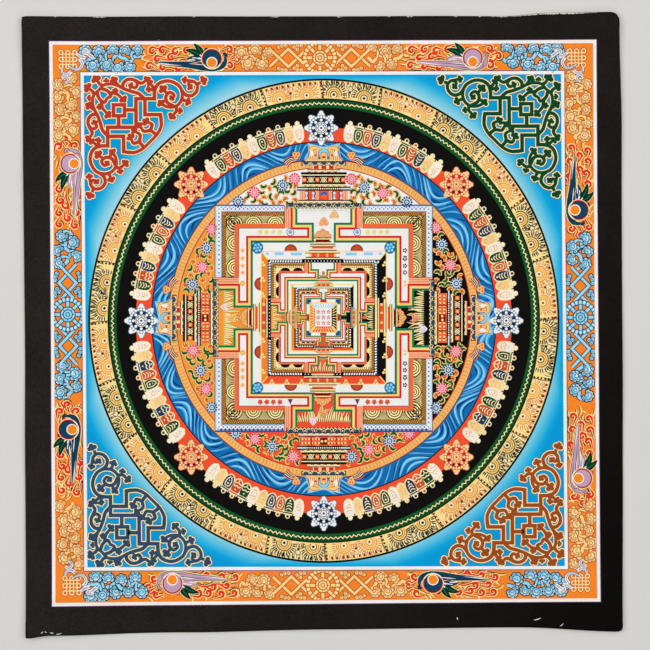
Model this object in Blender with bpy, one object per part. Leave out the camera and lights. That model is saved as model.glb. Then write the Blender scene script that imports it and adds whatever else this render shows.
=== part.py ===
"""A painted cotton canvas, unmounted: a mandala thangka as it is cut from the painter's stretcher.

Lengths are in metres and +Z is up. +X runs to the painting's right and +Y to its top. The canvas lies face
up. The origin is on the surface that it lies on, under the middle of its outline.
"""

import bpy
import numpy as np

# --- Driving dimensions -----------------------------------------------------------------------------------

THICKNESS = 0.0012          # cotton with its ground of chalk and glue, and its paint

# The four hand-cut edges, from left to right or from bottom to top. Each row is (along, across): how far
# along the edge, and where the cloth ends there. The first and the last row are the corners.
TOP_EDGE = (
    (-0.3005, 0.3085),
    (0.1820, 0.3090),       # straight as far as here
    (0.2250, 0.3120),       # then the cut steps outwards
    (0.2965, 0.3128),
)
BOTTOM_EDGE = (
    (-0.2965, -0.3128),
    (-0.2725, -0.3100),     # a small drooping tail at the left corner
    (-0.1375, -0.3070),
    (0.0075, -0.3040),
    (0.1975, -0.3020),      # the shortest place
    (0.3000, -0.3060),
)
LEFT_EDGE = (
    (-0.3128, -0.2965),
    (-0.0700, -0.2976),
    (0.3085, -0.3005),
)
RIGHT_EDGE = (
    (-0.3060, 0.3000),
    (-0.1500, 0.3005),      # the widest place
    (0.1900, 0.2992),
    (0.3128, 0.2965),
)

# Radius of each corner, in the order bottom left, bottom right, top left, top right
CORNER_RADIUS = (0.0015, 0.0045, 0.0025, 0.0095)

# Where the cloth stands off the surface that it lies on
FLAT_HALF_WIDTH = 0.205     # the middle lies flat as far as here, to left and right
FLAT_HALF_HEIGHT = 0.215    # and as far as here, up and down
RIM = 0.095                 # width of the strip round it that lifts
RIM_POWER = 1.6             # how steeply it leaves the surface: 1 is a straight slope
RIM_LIFT = 0.0009           # middle height of the lifted edge
RIM_WAVES = (               # what is added to that height along the edge: (height, wave length, phase)
    (0.0005, 0.235, 0.7),
    (0.0003, 0.131, 2.1),
)
SIDE_SHIFT = 0.30           # the left and right edge meet the waves this far along them, either way
END_SHIFT = 0.40            # and the top and bottom edge this far
CORNER_REACH = 0.130        # a lifted corner reaches this far in from its tip
CORNER_LIFT = (0.0020, 0.0010, 0.0012, 0.0028)  # in the same order as CORNER_RADIUS

# Faces
MIDDLE_CELLS = 16           # rows and columns of faces over the flat middle
RIM_CELLS = 5               # and over each rim
CORNER_CELL = 0.010         # the outermost row and column, which hold the rounded corners

# Colour of the painted margin
MARGIN_COLOUR = (0.019, 0.015, 0.012, 1.0)
MARGIN_ROUGHNESS = 0.82


# --- Shape ------------------------------------------------------------------------------------------------

def eased(t):
    """A smooth step from 0 to 1: half a cosine wave, with level ends."""
    return (1 - np.cos(np.pi * np.clip(t, 0, 1))) / 2


def edge_at(rows, along):
    """Where an edge lies, at places along it: the table's rows joined by smooth steps."""
    place, across = np.array(rows).T
    row = np.clip(np.searchsorted(place, along, side="right") - 1, 0, len(place) - 2)
    step = eased((along - place[row]) / (place[row + 1] - place[row]))
    return across[row] + (across[row + 1] - across[row]) * step


def placed(station, flat_half, low_edge, high_edge):
    """Where a line of the grid lies.

    Stations from -1 to 1 divide the flat middle evenly. Those from 1 to 2 divide the way from there to the
    high edge, and those from -1 to -2 the way to the low edge.
    """
    middle = np.clip(station, -1, 1) * flat_half
    high_rim = np.clip(station - 1, 0, 1) * (high_edge - flat_half)
    low_rim = np.clip(-station - 1, 0, 1) * (low_edge + flat_half)
    return middle + high_rim + low_rim


def cloth_grid(across, up):
    """X and Y of the cloth's points at stations across it and up it.

    A point's X lies between the left and the right edge at the height where its row meets them, and its Y
    lies between the bottom and the top edge likewise.
    """
    row_at_left = placed(up, FLAT_HALF_HEIGHT, LEFT_EDGE[0][0], LEFT_EDGE[-1][0])
    row_at_right = placed(up, FLAT_HALF_HEIGHT, RIGHT_EDGE[0][0], RIGHT_EDGE[-1][0])
    column_at_bottom = placed(across, FLAT_HALF_WIDTH, BOTTOM_EDGE[0][0], BOTTOM_EDGE[-1][0])
    column_at_top = placed(across, FLAT_HALF_WIDTH, TOP_EDGE[0][0], TOP_EDGE[-1][0])
    left, right = edge_at(LEFT_EDGE, row_at_left), edge_at(RIGHT_EDGE, row_at_right)
    bottom, top = edge_at(BOTTOM_EDGE, column_at_bottom), edge_at(TOP_EDGE, column_at_top)
    x = placed(across, FLAT_HALF_WIDTH, left, right)
    y = placed(up, FLAT_HALF_HEIGHT, bottom, top)
    return rounded(x, y, left, right, bottom, top)


def rounded(x, y, left, right, bottom, top):
    """Pulls the points in each corner's small square in, so that the square becomes a quarter disc.

    With s and t the point's shares of the way to the two edges, the quarter disc has it at the share
    s * sqrt(1 - t * t / 2) of the one way and t * sqrt(1 - s * s / 2) of the other.
    """
    for corner, radius in enumerate(CORNER_RADIUS):
        from_side = right - x if corner % 2 else x - left
        from_end = top - y if corner // 2 else y - bottom
        s = np.clip(1 - from_side / radius, 0, 1)
        t = np.clip(1 - from_end / radius, 0, 1)
        near = (s > 0) & (t > 0)
        pull_x = np.where(near, radius * (1 - s * np.sqrt(1 - t * t / 2)) - from_side, 0)
        pull_y = np.where(near, radius * (1 - t * np.sqrt(1 - s * s / 2)) - from_end, 0)
        x = x - pull_x if corner % 2 else x + pull_x
        y = y - pull_y if corner // 2 else y + pull_y
    return x, y


def lift(x, y):
    """Height of the cloth's underside.

    It is nought over the flat middle. In the rim it grows as a power of the way out, to a height that
    wanders along the edge. Each corner adds a curl that grows as the square of the way to its tip.
    """
    def edge_height(along):
        waves = sum(h * np.sin(2 * np.pi * along / length + phase) for h, length, phase in RIM_WAVES)
        return RIM_LIFT + waves

    out_x = np.clip((np.abs(x) - FLAT_HALF_WIDTH) / RIM, 0, None) ** RIM_POWER
    out_y = np.clip((np.abs(y) - FLAT_HALF_HEIGHT) / RIM, 0, None) ** RIM_POWER
    z = out_x * edge_height(y + SIDE_SHIFT * np.sign(x)) + out_y * edge_height(x + END_SHIFT * np.sign(y))
    for corner, height in enumerate(CORNER_LIFT):
        edge = TOP_EDGE if corner // 2 else BOTTOM_EDGE
        tip_x, tip_y = edge[-1] if corner % 2 else edge[0]
        way = np.hypot(x - tip_x, y - tip_y) / CORNER_REACH
        z = z + height * np.clip(1 - way, 0, 1) ** 2
    return z


def stations():
    """The grid's lines: even over the flat middle and over the rims, and one more at each rounded corner."""
    rim = np.append(np.arange(1, RIM_CELLS) / RIM_CELLS, [1 - CORNER_CELL / RIM, 1])
    middle = np.linspace(-1, 1, MIDDLE_CELLS + 1)
    return np.concatenate((-1 - rim[::-1], middle, 1 + rim))


# --- The canvas -------------------------------------------------------------------------------------------

def margin_material():
    """Thin black paint on cotton, fully matt."""
    material = bpy.data.materials.new("canvas")
    material.use_nodes = True
    shader = material.node_tree.nodes["Principled BSDF"]
    shader.inputs["Base Color"].default_value = MARGIN_COLOUR
    shader.inputs["Roughness"].default_value = MARGIN_ROUGHNESS
    shader.inputs["Metallic"].default_value = 0.0
    material.diffuse_color = MARGIN_COLOUR
    return material


def make_canvas():
    """The whole cloth: a grid on its underside, which Solidify thickens upwards into one closed sheet."""
    across, up = np.meshgrid(stations(), stations())
    x, y = cloth_grid(across, up)
    points = np.stack([x, y, lift(x, y)], axis=-1).reshape(-1, 3)

    rows, columns = x.shape
    number = np.arange(rows * columns).reshape(rows, columns)
    faces = np.stack([number[:-1, :-1], number[:-1, 1:], number[1:, 1:], number[1:, :-1]], axis=-1)

    mesh = bpy.data.meshes.new("canvas")
    mesh.from_pydata(points.tolist(), [], faces.reshape(-1, 4).tolist())
    mesh.materials.append(margin_material())

    canvas = bpy.data.objects.new("canvas", mesh)
    bpy.context.scene.collection.objects.link(canvas)
    thicken = canvas.modifiers.new("thickness", "SOLIDIFY")
    thicken.thickness = THICKNESS
    thicken.offset = 1
    thicken.use_rim = True
    return canvas


for leftover in list(bpy.data.objects):
    bpy.data.objects.remove(leftover, do_unlink=True)
make_canvas()
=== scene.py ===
# %% [markdown]
# # A mandala thangka on cotton canvas
#
# The real object is one piece of plain-woven cotton. Its maker laces it into a frame, sizes it with glue,
# grounds it with chalk, paints it in opaque mineral colours and cuts it off with a black margin round it.
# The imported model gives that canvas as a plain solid. This lesson dresses it: the cloth with its weave, and
# on it the painting, which is built the way a painter works. Each stroke of the brush is a thin film of
# paint with its own outline, and each colour of each region is one mesh.

import bpy
import numpy as np
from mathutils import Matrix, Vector


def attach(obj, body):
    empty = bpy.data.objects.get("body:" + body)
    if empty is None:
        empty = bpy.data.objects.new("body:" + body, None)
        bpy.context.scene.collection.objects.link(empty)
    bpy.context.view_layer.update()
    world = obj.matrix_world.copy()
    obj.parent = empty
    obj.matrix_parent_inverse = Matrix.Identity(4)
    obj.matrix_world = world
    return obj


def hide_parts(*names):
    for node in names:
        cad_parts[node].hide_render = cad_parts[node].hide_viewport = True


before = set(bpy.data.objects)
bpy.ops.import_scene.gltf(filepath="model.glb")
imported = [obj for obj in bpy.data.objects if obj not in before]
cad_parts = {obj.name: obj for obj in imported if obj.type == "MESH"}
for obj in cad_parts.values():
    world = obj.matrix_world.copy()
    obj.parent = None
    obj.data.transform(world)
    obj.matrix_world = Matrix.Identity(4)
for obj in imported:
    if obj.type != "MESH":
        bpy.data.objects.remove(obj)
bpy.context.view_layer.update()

# %% [markdown]
# ## The cloth
#
# The canvas was cut by hand, so no edge is quite straight, and its rim and corners stand a little off the
# surface that it lies on. The same tables and formulas as in the canvas's own model give its edges and its
# lift. A sheet could also be simulated, but it lies almost flat, and every stroke of paint has to follow it
# exactly, so a formula for the height at any place is the better way.

# %% The cut edges and the lift of the rim, in metres
THICKNESS = 0.0012          # cotton with its ground and paint
TOP_EDGE = ((-0.3005, 0.3085), (0.1820, 0.3090), (0.2250, 0.3120), (0.2965, 0.3128))
BOTTOM_EDGE = ((-0.2965, -0.3128), (-0.2725, -0.3100), (-0.1375, -0.3070),
               (0.0075, -0.3040), (0.1975, -0.3020), (0.3000, -0.3060))
LEFT_EDGE = ((-0.3128, -0.2965), (-0.0700, -0.2976), (0.3085, -0.3005))
RIGHT_EDGE = ((-0.3060, 0.3000), (-0.1500, 0.3005), (0.1900, 0.2992), (0.3128, 0.2965))
CORNER_RADIUS = (0.0015, 0.0045, 0.0025, 0.0095)    # bottom left, bottom right, top left, top right
FLAT_HALF_WIDTH = 0.205     # the middle lies flat as far as here
FLAT_HALF_HEIGHT = 0.215
RIM = 0.095                 # width of the strip round it that lifts
RIM_POWER = 1.6
RIM_LIFT = 0.0009
RIM_WAVES = ((0.0005, 0.235, 0.7), (0.0003, 0.131, 2.1))    # height, wave length, phase
SIDE_SHIFT = 0.30
END_SHIFT = 0.40
CORNER_REACH = 0.130
CORNER_LIFT = (0.0020, 0.0010, 0.0012, 0.0028)


def eased(t):
    """A smooth step from 0 to 1: half a cosine wave, with level ends."""
    return (1 - np.cos(np.pi * np.clip(t, 0, 1))) / 2


def edge_at(rows, along):
    """Where an edge lies, at places along it: the table's rows joined by smooth steps."""
    place, across = np.array(rows).T
    row = np.clip(np.searchsorted(place, along, side="right") - 1, 0, len(place) - 2)
    step = eased((along - place[row]) / (place[row + 1] - place[row]))
    return across[row] + (across[row + 1] - across[row]) * step


def placed(station, flat_half, low_edge, high_edge):
    """Stations -1 to 1 divide the flat middle evenly, and those beyond divide the way to each edge."""
    middle = np.clip(station, -1, 1) * flat_half
    high_rim = np.clip(station - 1, 0, 1) * (high_edge - flat_half)
    low_rim = np.clip(-station - 1, 0, 1) * (low_edge + flat_half)
    return middle + high_rim + low_rim


def lift(x, y):
    """Height of the underside: a power of the way out through the rim, times a height that wanders along
    the edge, and at each corner a curl that grows as the square of the way to its tip."""
    def edge_height(along):
        waves = sum(h * np.sin(2 * np.pi * along / length + phase) for h, length, phase in RIM_WAVES)
        return RIM_LIFT + waves

    out_x = np.clip((np.abs(x) - FLAT_HALF_WIDTH) / RIM, 0, None) ** RIM_POWER
    out_y = np.clip((np.abs(y) - FLAT_HALF_HEIGHT) / RIM, 0, None) ** RIM_POWER
    z = out_x * edge_height(y + SIDE_SHIFT * np.sign(x)) + out_y * edge_height(x + END_SHIFT * np.sign(y))
    for corner, height in enumerate(CORNER_LIFT):
        tip_x, tip_y = (TOP_EDGE if corner // 2 else BOTTOM_EDGE)[-1 if corner % 2 else 0]
        way = np.hypot(x - tip_x, y - tip_y) / CORNER_REACH
        z = z + height * np.clip(1 - way, 0, 1) ** 2
    return z


print("lift at the top right corner in mm:", round(1000 * float(lift(0.29, 0.306)), 2))

# %% The sheet: a grid of points 5 mm apart
MIDDLE_CELLS = 80           # faces across the flat middle
RIM_CELLS = 20              # and across each rim


def rounded(x, y, left, right, bottom, top):
    """Pulls the points near each corner onto a quarter disc: a point's shares s and t of the way to the two
    edges become s * sqrt(1 - t * t / 2) and t * sqrt(1 - s * s / 2)."""
    for corner, radius in enumerate(CORNER_RADIUS):
        from_side = right - x if corner % 2 else x - left
        from_end = top - y if corner // 2 else y - bottom
        s = np.clip(1 - from_side / radius, 0, 1)
        t = np.clip(1 - from_end / radius, 0, 1)
        near = (s > 0) & (t > 0)
        pull_x = np.where(near, radius * (1 - s * np.sqrt(1 - t * t / 2)) - from_side, 0)
        pull_y = np.where(near, radius * (1 - t * np.sqrt(1 - s * s / 2)) - from_end, 0)
        x = x - pull_x if corner % 2 else x + pull_x
        y = y - pull_y if corner // 2 else y + pull_y
    return x, y


def cloth_grid(across, up):
    """X and Y at stations across the cloth and up it, between the edges where each line meets them."""
    left, right = (edge_at(rows, placed(up, FLAT_HALF_HEIGHT, rows[0][0], rows[-1][0]))
                   for rows in (LEFT_EDGE, RIGHT_EDGE))
    bottom, top = (edge_at(rows, placed(across, FLAT_HALF_WIDTH, rows[0][0], rows[-1][0]))
                   for rows in (BOTTOM_EDGE, TOP_EDGE))
    x = placed(across, FLAT_HALF_WIDTH, left, right)
    y = placed(up, FLAT_HALF_HEIGHT, bottom, top)
    return rounded(x, y, left, right, bottom, top)


def mesh_of(name, points, faces):
    """A mesh from whole arrays: points (n, 3) in metres and faces (m, corners), all with as many corners."""
    mesh = bpy.data.meshes.new(name)
    mesh.vertices.add(len(points))
    mesh.vertices.foreach_set("co", points.astype(np.float32).ravel())
    mesh.loops.add(faces.size)
    mesh.loops.foreach_set("vertex_index", faces.astype(np.int32).ravel())
    mesh.polygons.add(len(faces))
    mesh.polygons.foreach_set("loop_start", np.arange(0, faces.size, faces.shape[1], dtype=np.int32))
    mesh.update(calc_edges=True)
    piece = bpy.data.objects.new(name, mesh)
    bpy.context.scene.collection.objects.link(piece)
    return piece


def grid_faces(rows, columns):
    """Quads over a grid of points that are numbered row by row."""
    number = np.arange(rows * columns).reshape(rows, columns)
    corners = [number[:-1, :-1], number[:-1, 1:], number[1:, 1:], number[1:, :-1]]
    return np.stack(corners, -1).reshape(-1, 4)


rim = 1 + np.arange(1, RIM_CELLS + 1) / RIM_CELLS
stations = np.concatenate([-rim[::-1], np.linspace(-1, 1, MIDDLE_CELLS + 1), rim])
x, y = cloth_grid(*np.meshgrid(stations, stations))
z = lift(x, y) + THICKNESS
canvas = mesh_of("painted_cotton", np.stack([x, y, z], -1).reshape(-1, 3), grid_faces(*x.shape))
canvas.data.polygons.foreach_set("use_smooth", [True] * len(canvas.data.polygons))
flat = x + 1j * y
outline = np.concatenate([flat[0], flat[1:, -1], flat[-1, -2::-1], flat[-2:0:-1, 0]])
cut_area = abs(np.imag(outline.conj() * np.roll(outline, -1)).sum()) / 2
thicken = canvas.modifiers.new("thickness", "SOLIDIFY")
thicken.thickness = THICKNESS
thicken.offset = -1
thicken.use_rim = True
thicken.material_offset = 1
thicken.material_offset_rim = 1
print("canvas:", len(canvas.data.polygons), "faces,", round(cut_area, 4), "square metres")

# %% [markdown]
# ## Paint
#
# Mineral colour bound with glue dries matt. Two things keep it from looking like printed plastic: it lies a
# little thicker and darker where the brush passed twice, and the cloth's threads show through it as a faint
# relief. Both belong to every colour, so they are one node group, and each paint puts its own colour in.

# %% The finish that all the paints share
THREAD = 0.00055            # metres from thread to thread


def srgb(code):
    """The linear colour of a six-figure sRGB code."""
    value = np.array([int(code[k:k + 2], 16) for k in (0, 2, 4)]) / 255
    linear = np.where(value <= 0.04045, value / 12.92, ((value + 0.055) / 1.055) ** 2.4)
    return (*linear.tolist(), 1.0)


def join(tree, socket, value):
    """Links a socket to another one, or sets it to a plain value."""
    if isinstance(value, bpy.types.NodeSocket):
        tree.links.new(value, socket)
    else:
        socket.default_value = value


def node(tree, kind, **values):
    """A new node; what is given goes to its input of that name, or to the node itself where it has none."""
    made = tree.nodes.new(kind)
    for name, value in values.items():
        title = name.replace("_", " ").title()
        if title in made.inputs:
            join(tree, made.inputs[title], value)
        else:
            setattr(made, name, value)
    return made


def reckon(tree, operation, *values):
    """The output of a math node that is given numbers or sockets."""
    made = node(tree, "ShaderNodeMath", operation=operation)
    for socket, value in zip(made.inputs, values):
        join(tree, socket, value)
    return made.outputs[0]


def weave_height(tree, place, thread):
    """Height of a plain weave: the product of two sine waves a thread apart, one along X and one along Y."""
    waves = [node(tree, "ShaderNodeTexWave", bands_direction=axis, scale=np.pi / (10 * thread),
                  distortion=0.6, detail_scale=0.4, vector=place).outputs["Fac"] for axis in "XY"]
    return reckon(tree, "MULTIPLY", *waves)


def brushed_group():
    """Colour with a slow drift and short brush streaks, both as shares of its value, and a height that adds
    the threads to the streaks."""
    tree = bpy.data.node_groups.new("brushed_paint", "ShaderNodeTree")
    for way, title, kind in (("INPUT", "Paint", "Color"), ("INPUT", "Drift", "Float"),
                             ("INPUT", "Streaks", "Float"), ("OUTPUT", "Colour", "Color"),
                             ("OUTPUT", "Height", "Float")):
        tree.interface.new_socket(title, in_out=way, socket_type="NodeSocket" + kind)
    given, put_out = tree.nodes.new("NodeGroupInput"), tree.nodes.new("NodeGroupOutput")
    place = node(tree, "ShaderNodeTexCoord").outputs["Object"]
    slow = node(tree, "ShaderNodeTexNoise", scale=26.0, detail=2.0, vector=place).outputs["Fac"]
    fast = node(tree, "ShaderNodeTexNoise", scale=420.0, detail=3.0, distortion=1.6, vector=place)
    fast = fast.outputs["Fac"]
    value = 1.0
    for noise, strength in ((slow, "Drift"), (fast, "Streaks")):
        centred = reckon(tree, "SUBTRACT", noise, 0.5)
        value = reckon(tree, "MULTIPLY_ADD", centred, given.outputs[strength], value)
    tint = node(tree, "ShaderNodeHueSaturation", color=given.outputs["Paint"], value=value)
    height = reckon(tree, "ADD", weave_height(tree, place, THREAD), fast)
    tree.links.new(tint.outputs["Color"], put_out.inputs["Colour"])
    tree.links.new(height, put_out.inputs["Height"])
    return tree


BRUSHED = brushed_group()


def matt(name, colour, drift=0.25, streaks=0.18, roughness=0.78, bump=0.00002):
    """A material of one paint. Returns it with its group node, whose Paint input another node may drive."""
    material = bpy.data.materials.new(name)
    material.use_nodes = True
    tree = material.node_tree
    shader = tree.nodes["Principled BSDF"]
    finish = node(tree, "ShaderNodeGroup", node_tree=BRUSHED, paint=colour, drift=drift, streaks=streaks)
    relief = node(tree, "ShaderNodeBump", distance=bump, strength=1.0, height=finish.outputs["Height"])
    shader.inputs["Roughness"].default_value = roughness
    shader.inputs["Specular IOR Level"].default_value = 0.06
    tree.links.new(finish.outputs["Colour"], shader.inputs["Base Color"])
    tree.links.new(relief.outputs["Normal"], shader.inputs["Normal"])
    material.diffuse_color = colour
    return material, finish


print("paint finish:", len(BRUSHED.nodes), "nodes")

# %% The painter's box of colours
COLOURS = {
    "white": "f3f0ec", "cream": "fbe7b4", "gilt": "fde092", "ochre": "d8843c", "tan": "f8c27a",
    "earth": "f6b768", "orange": "f4692c", "marigold": "f8872a", "vermilion": "f4512f", "red": "d81f2d",
    "madder": "7a0c10", "umber": "1e1206", "yellow": "fbd67a", "pink": "f07f92", "lilac": "b79ac0",
    "plum": "5c3a63", "green": "0d7a52", "pine": "0d4526", "deep_green": "0c4a1e", "water": "0f6db0",
    "navy": "12365a", "deep_blue": "083f7c", "light_blue": "8ad2f2", "cloud_blue": "9adaf6",
    "cerulean": "1aa9e2", "slate": "2f4a63", "rust": "b8382a", "sienna": "9c4a1c", "black": "0d0b0a",
    "saffron": "fdcc74", "ember": "dc7a3a", "moss": "0f5a28", "apricot": "fbcf92", "steel": "5d8fb0",
    "stream": "3c9fdc", "ice": "cfe0ee", "ultramarine": "2a4a9a", "flaxen": "fbe7a0", "bronze": "c8893a",
    "coral": "f26a3c", "shell": "f9b48a", "blush": "f8b8bc", "crimson": "e02c4c", "leaf_orange": "e07020",
    "brick": "c8502a", "scarlet": "e8301e", "orange_heart": "f98a20", "ivory": "f6f0e8", "wheat": "f8d594",
    "mauve": "c49db8", "teal": "143f5c", "amber": "f3993a",
    "honey": "e5a258", "straw": "fdd48c", "henna": "b5501c", "midnight": "0a2038", "dusk": "46708f",
    "forest": "0a3020", "thread": "7d7566",
}
paints = {}


def paint(name):
    """The material of a colour, made when it is first asked for."""
    if name not in paints:
        paints[name] = matt(name, srgb(COLOURS[name]))[0]
    return paints[name]


print(len(COLOURS), "colours")

# %% [markdown]
# The margin is black paint on the bare cloth, thinner than the rest, so the weave shows more. It is darkest
# at the bottom right and browner towards the top left. The back and the cut edges are sized cotton.

# %% Colours that follow the distance from a place
def distance_from(tree, place, scale):
    """Distance in metres from a place, with each axis stretched by its own scale first."""
    coordinates = node(tree, "ShaderNodeTexCoord").outputs["Object"]
    moved = node(tree, "ShaderNodeMapping", location=[-a * b for a, b in zip(place, scale)], scale=scale,
                 vector=coordinates)
    length = node(tree, "ShaderNodeVectorMath", operation="LENGTH", vector=moved.outputs["Vector"])
    return length.outputs["Value"]


def shaded(tree, share, stops, finish):
    """Puts a ramp of colours over a share from 0 to 1 and leads it to the paint's finish."""
    ramp = node(tree, "ShaderNodeValToRGB", fac=share)
    for stop in stops[2:]:
        ramp.color_ramp.elements.new(stop[0])
    for element, (at_share, code) in zip(ramp.color_ramp.elements, sorted(stops)):
        element.position = at_share
        element.color = srgb(code)
    tree.links.new(ramp.outputs["Color"], finish.inputs["Paint"])


# %% The canvas's own two materials
MARGIN_SHADES = ((0.0, "070504"), (0.1, "0b0807"), (0.2, "120e0c"), (0.35, "1a1613"), (0.6, "201b18"),
                 (0.9, "25201c"))
margin, margin_finish = matt("margin_black", srgb("26211d"), drift=0.8, streaks=2.0, bump=0.00006)
# the margin's black runs from its darkest at the bottom right corner to a brownish black towards the top left
fade = distance_from(margin.node_tree, (0.3, -0.3, 0.0), (1.6, 0.8, 0.0))
shaded(margin.node_tree, fade, MARGIN_SHADES, margin_finish)
cotton = matt("sized_cotton", srgb("cbb994"), drift=0.3, streaks=0.3, roughness=0.9, bump=0.00012)[0]
canvas.data.materials.append(margin)
canvas.data.materials.append(cotton)
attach(canvas, "root")
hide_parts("canvas")
print("canvas materials:", margin.name, cotton.name)

# %% [markdown]
# ## The brush
#
# A painter's mark is a line that swells and thins, a filled outline or a dot. Here a shape is a pair: its
# points, and its triangles as numbers of points. The points are complex numbers, x + iy in millimetres,
# because then a sum moves a shape, a product turns and sizes it, and a minus sign on x mirrors it.

# %% Lines, areas and dots
def stroke(paths, width, closed=False):
    """A brushed line along each path, whose width may change from point to point.

    Each point becomes two, half the width to either side of it. At a bend the way to the side is the sum of
    both stretches' normals over one plus their dot product, so that the line keeps its width there.
    """
    paths = np.atleast_2d(paths)
    if closed:
        after = np.roll(paths, -1, 1) - paths
        before = np.roll(after, 1, 1)
    else:
        step = np.diff(paths, axis=1)
        after = np.concatenate([step, step[:, -1:]], 1)
        before = np.concatenate([step[:, :1], step], 1)
    after = after / np.maximum(abs(after), 1e-9)
    before = before / np.maximum(abs(before), 1e-9)
    bend = np.maximum(1 + np.real(before * after.conj()), 0.35)
    side = 1j * (before + after) / bend * np.asarray(width) / 2
    number = np.arange(2 * paths.size).reshape(*paths.shape, 2)
    here, there = (number, np.roll(number, -1, 1)) if closed else (number[:, :-1], number[:, 1:])
    corners = [here[..., 0], here[..., 1], there[..., 1], here[..., 0], there[..., 1], there[..., 0]]
    return np.stack([paths + side, paths - side], -1).ravel(), np.stack(corners, -1).reshape(-1, 3)


def filled(outlines):
    """Each closed outline as a fan of triangles round its middle."""
    outlines = np.atleast_2d(outlines)
    points = np.concatenate([outlines, outlines.mean(1, keepdims=True)], 1)
    number = np.arange(points.size).reshape(points.shape)
    edge, hub = number[:, :-1], np.broadcast_to(number[:, -1:], outlines.shape)
    return points.ravel(), np.stack([edge, np.roll(edge, -1, 1), hub], -1).reshape(-1, 3)


def polar(angle, radius=1.0):
    """The point at an angle in degrees and a radius."""
    return radius * np.exp(1j * np.radians(angle))


def circle(radius, sides):
    """The points of a circle."""
    return radius * np.exp(2j * np.pi * np.arange(sides) / sides)


def dots(places, radius, sides=10):
    """A disc at each place; the radius may differ from one to the next."""
    radius = np.broadcast_to(radius, np.shape(np.ravel(places)))
    return filled(np.ravel(places)[:, None] + radius[:, None] * circle(1, sides))


def loops(places, radius, width, sides=16):
    """A ring at each place."""
    return stroke(np.ravel(places)[:, None] + circle(radius, sides), width, closed=True)


def halved(points):
    """A grid of points whose cells are each cut into two triangles."""
    return points.ravel(), grid_faces(*points.shape)[:, [0, 1, 2, 0, 2, 3]].reshape(-1, 3)


def steps_over(start, end, step):
    """Values from one to another, no further apart than the step."""
    return np.linspace(start, end, int(np.ceil(abs(end - start) / step)) + 1)


def patch(low, high):
    """A rectangle between two opposite corners, in cells of 10 mm at most."""
    x, y = np.meshgrid(steps_over(low.real, high.real, 10.0), steps_over(low.imag, high.imag, 10.0))
    return halved(x + 1j * y)


def band(inner, outer, start=0.0, end=360.0, depth=10.0):
    """Part of a ring between two radii, from one angle to another in degrees, in cells of 2 degrees."""
    return halved(polar(*np.meshgrid(steps_over(end, start, 2.0), steps_over(inner, outer, depth))))


def arc(radius, start=0.0, end=360.0, step=2.0):
    """Points along an arc, angles in degrees."""
    return polar(np.linspace(start, end, int(abs(end - start) / step) + 2), radius)


def route(corners, step=10.0, closed=False):
    """Points along straight runs from corner to corner, no further apart than the step."""
    corners = np.append(corners, corners[0]) if closed else np.asarray(corners)
    runs = [np.linspace(a, b, int(np.ceil(abs(b - a) / step)), endpoint=False)
            for a, b in zip(corners[:-1], corners[1:])]
    return np.concatenate(runs if closed else [*runs, corners[-1:]])


def curl(start, heading, length, turn, power=1.0, steps=10):
    """Lines that bend as they go: the heading, in degrees, is the first one plus the turn times a power of
    the way along."""
    start, heading, length, turn = (np.ravel(v) for v in np.broadcast_arrays(start, heading, length, turn))
    way = (np.arange(steps) + 0.5) / steps
    bearing = np.radians(heading.real[:, None] + turn.real[:, None] * way ** power)
    path = np.cumsum(length[:, None] / steps * np.exp(1j * bearing), 1)
    return start[:, None] + np.concatenate([np.zeros((len(path), 1)), path], 1)


def smooth(corners, steps=5):
    """A soft curve through corners: on each stretch the point is a cubic of the four corners round it, the
    one that Catmull and Rom gave."""
    p = np.asarray(corners, dtype=complex)
    p = np.concatenate([[2 * p[0] - p[1]], p, [2 * p[-1] - p[-2]]])
    t = np.arange(steps)[:, None] / steps
    a, b, c, d = p[:-3], p[1:-2], p[2:-1], p[3:]
    square, cube = 2 * a - 5 * b + 4 * c - d, 3 * b - a - 3 * c + d
    curve = 0.5 * (2 * b + (c - a) * t + square * t ** 2 + cube * t ** 3)
    return np.append(curve.T.ravel(), p[-2])


def swell(steps, most=0.4, thin=0.12):
    """Widths along a stroke, as shares: thin at both ends and full at the share of its length given."""
    s = np.linspace(0, 1, steps + 1)
    rise = np.where(s < most, s / most, (1 - s) / (1 - most))
    return thin + (1 - thin) * np.sin(np.pi / 2 * rise)


def copies(shape, turns, places=0.0):
    """Copies of a shape, each times its own complex number and then moved to its own place."""
    points, triangles = shape
    turns, places = (np.ravel(v) for v in np.broadcast_arrays(turns, places))
    shift = len(points) * np.arange(len(turns))[:, None, None]
    return (turns[:, None] * points + places[:, None]).ravel(), (triangles + shift).reshape(-1, 3)


def both(shape):
    """A shape and its mirror image, left for right."""
    points, triangles = shape
    return np.concatenate([points, -points.conj()]), np.concatenate([triangles, triangles + len(points)])


def flipped(points, side):
    """Points as they are, or their mirror image, left for right, where the side is -1."""
    return points if side > 0 else -points.conj()


SIDES = np.array([1, 1j, -1, -1j])      # what turns the top side into the top, left, bottom and right ones
print("brush: a wavy stroke has", len(stroke(curl(0, 0, 20, 60), swell(10) * 2)[1]), "triangles")

# %% [markdown]
# ## Where the drawing lies on the cloth
#
# The painter stretched and trued the cloth by eye, so the frame leans a little against the rings, and both
# are a trifle taller than wide. Each part of the drawing is worked out true, and one of three functions puts
# it on the canvas.

# %% From the drawing to the canvas, in millimetres
RING_CENTRE = 1.3 + 4.5j
RING_TALL = 1.028                       # height over width
INNER_RISE = 1.75j                      # the painter struck the inner rings from the palace's centre instead
FRAME_CENTRE = 1.7 + 4.5j
FRAME_LEAN = 0.0076
FRAME_RISE = 0.0028                     # of its strips, to the right
LOWER_RISE = 0.006                      # and what the lower strip adds to it
FRAME_INNER = (240.2, 247.5)            # half sizes of its inner white line
FRAME_OUTER = (272.2, 279.7)            # and of the outer one, whose top is lower than its bottom
LOWER_REACH = 34                        # how far below the inner line the lower strip has its full rise


def on_rings(points):
    """The rings: stretched upwards about their centre."""
    return RING_CENTRE + points.real + 1j * RING_TALL * points.imag


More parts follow.
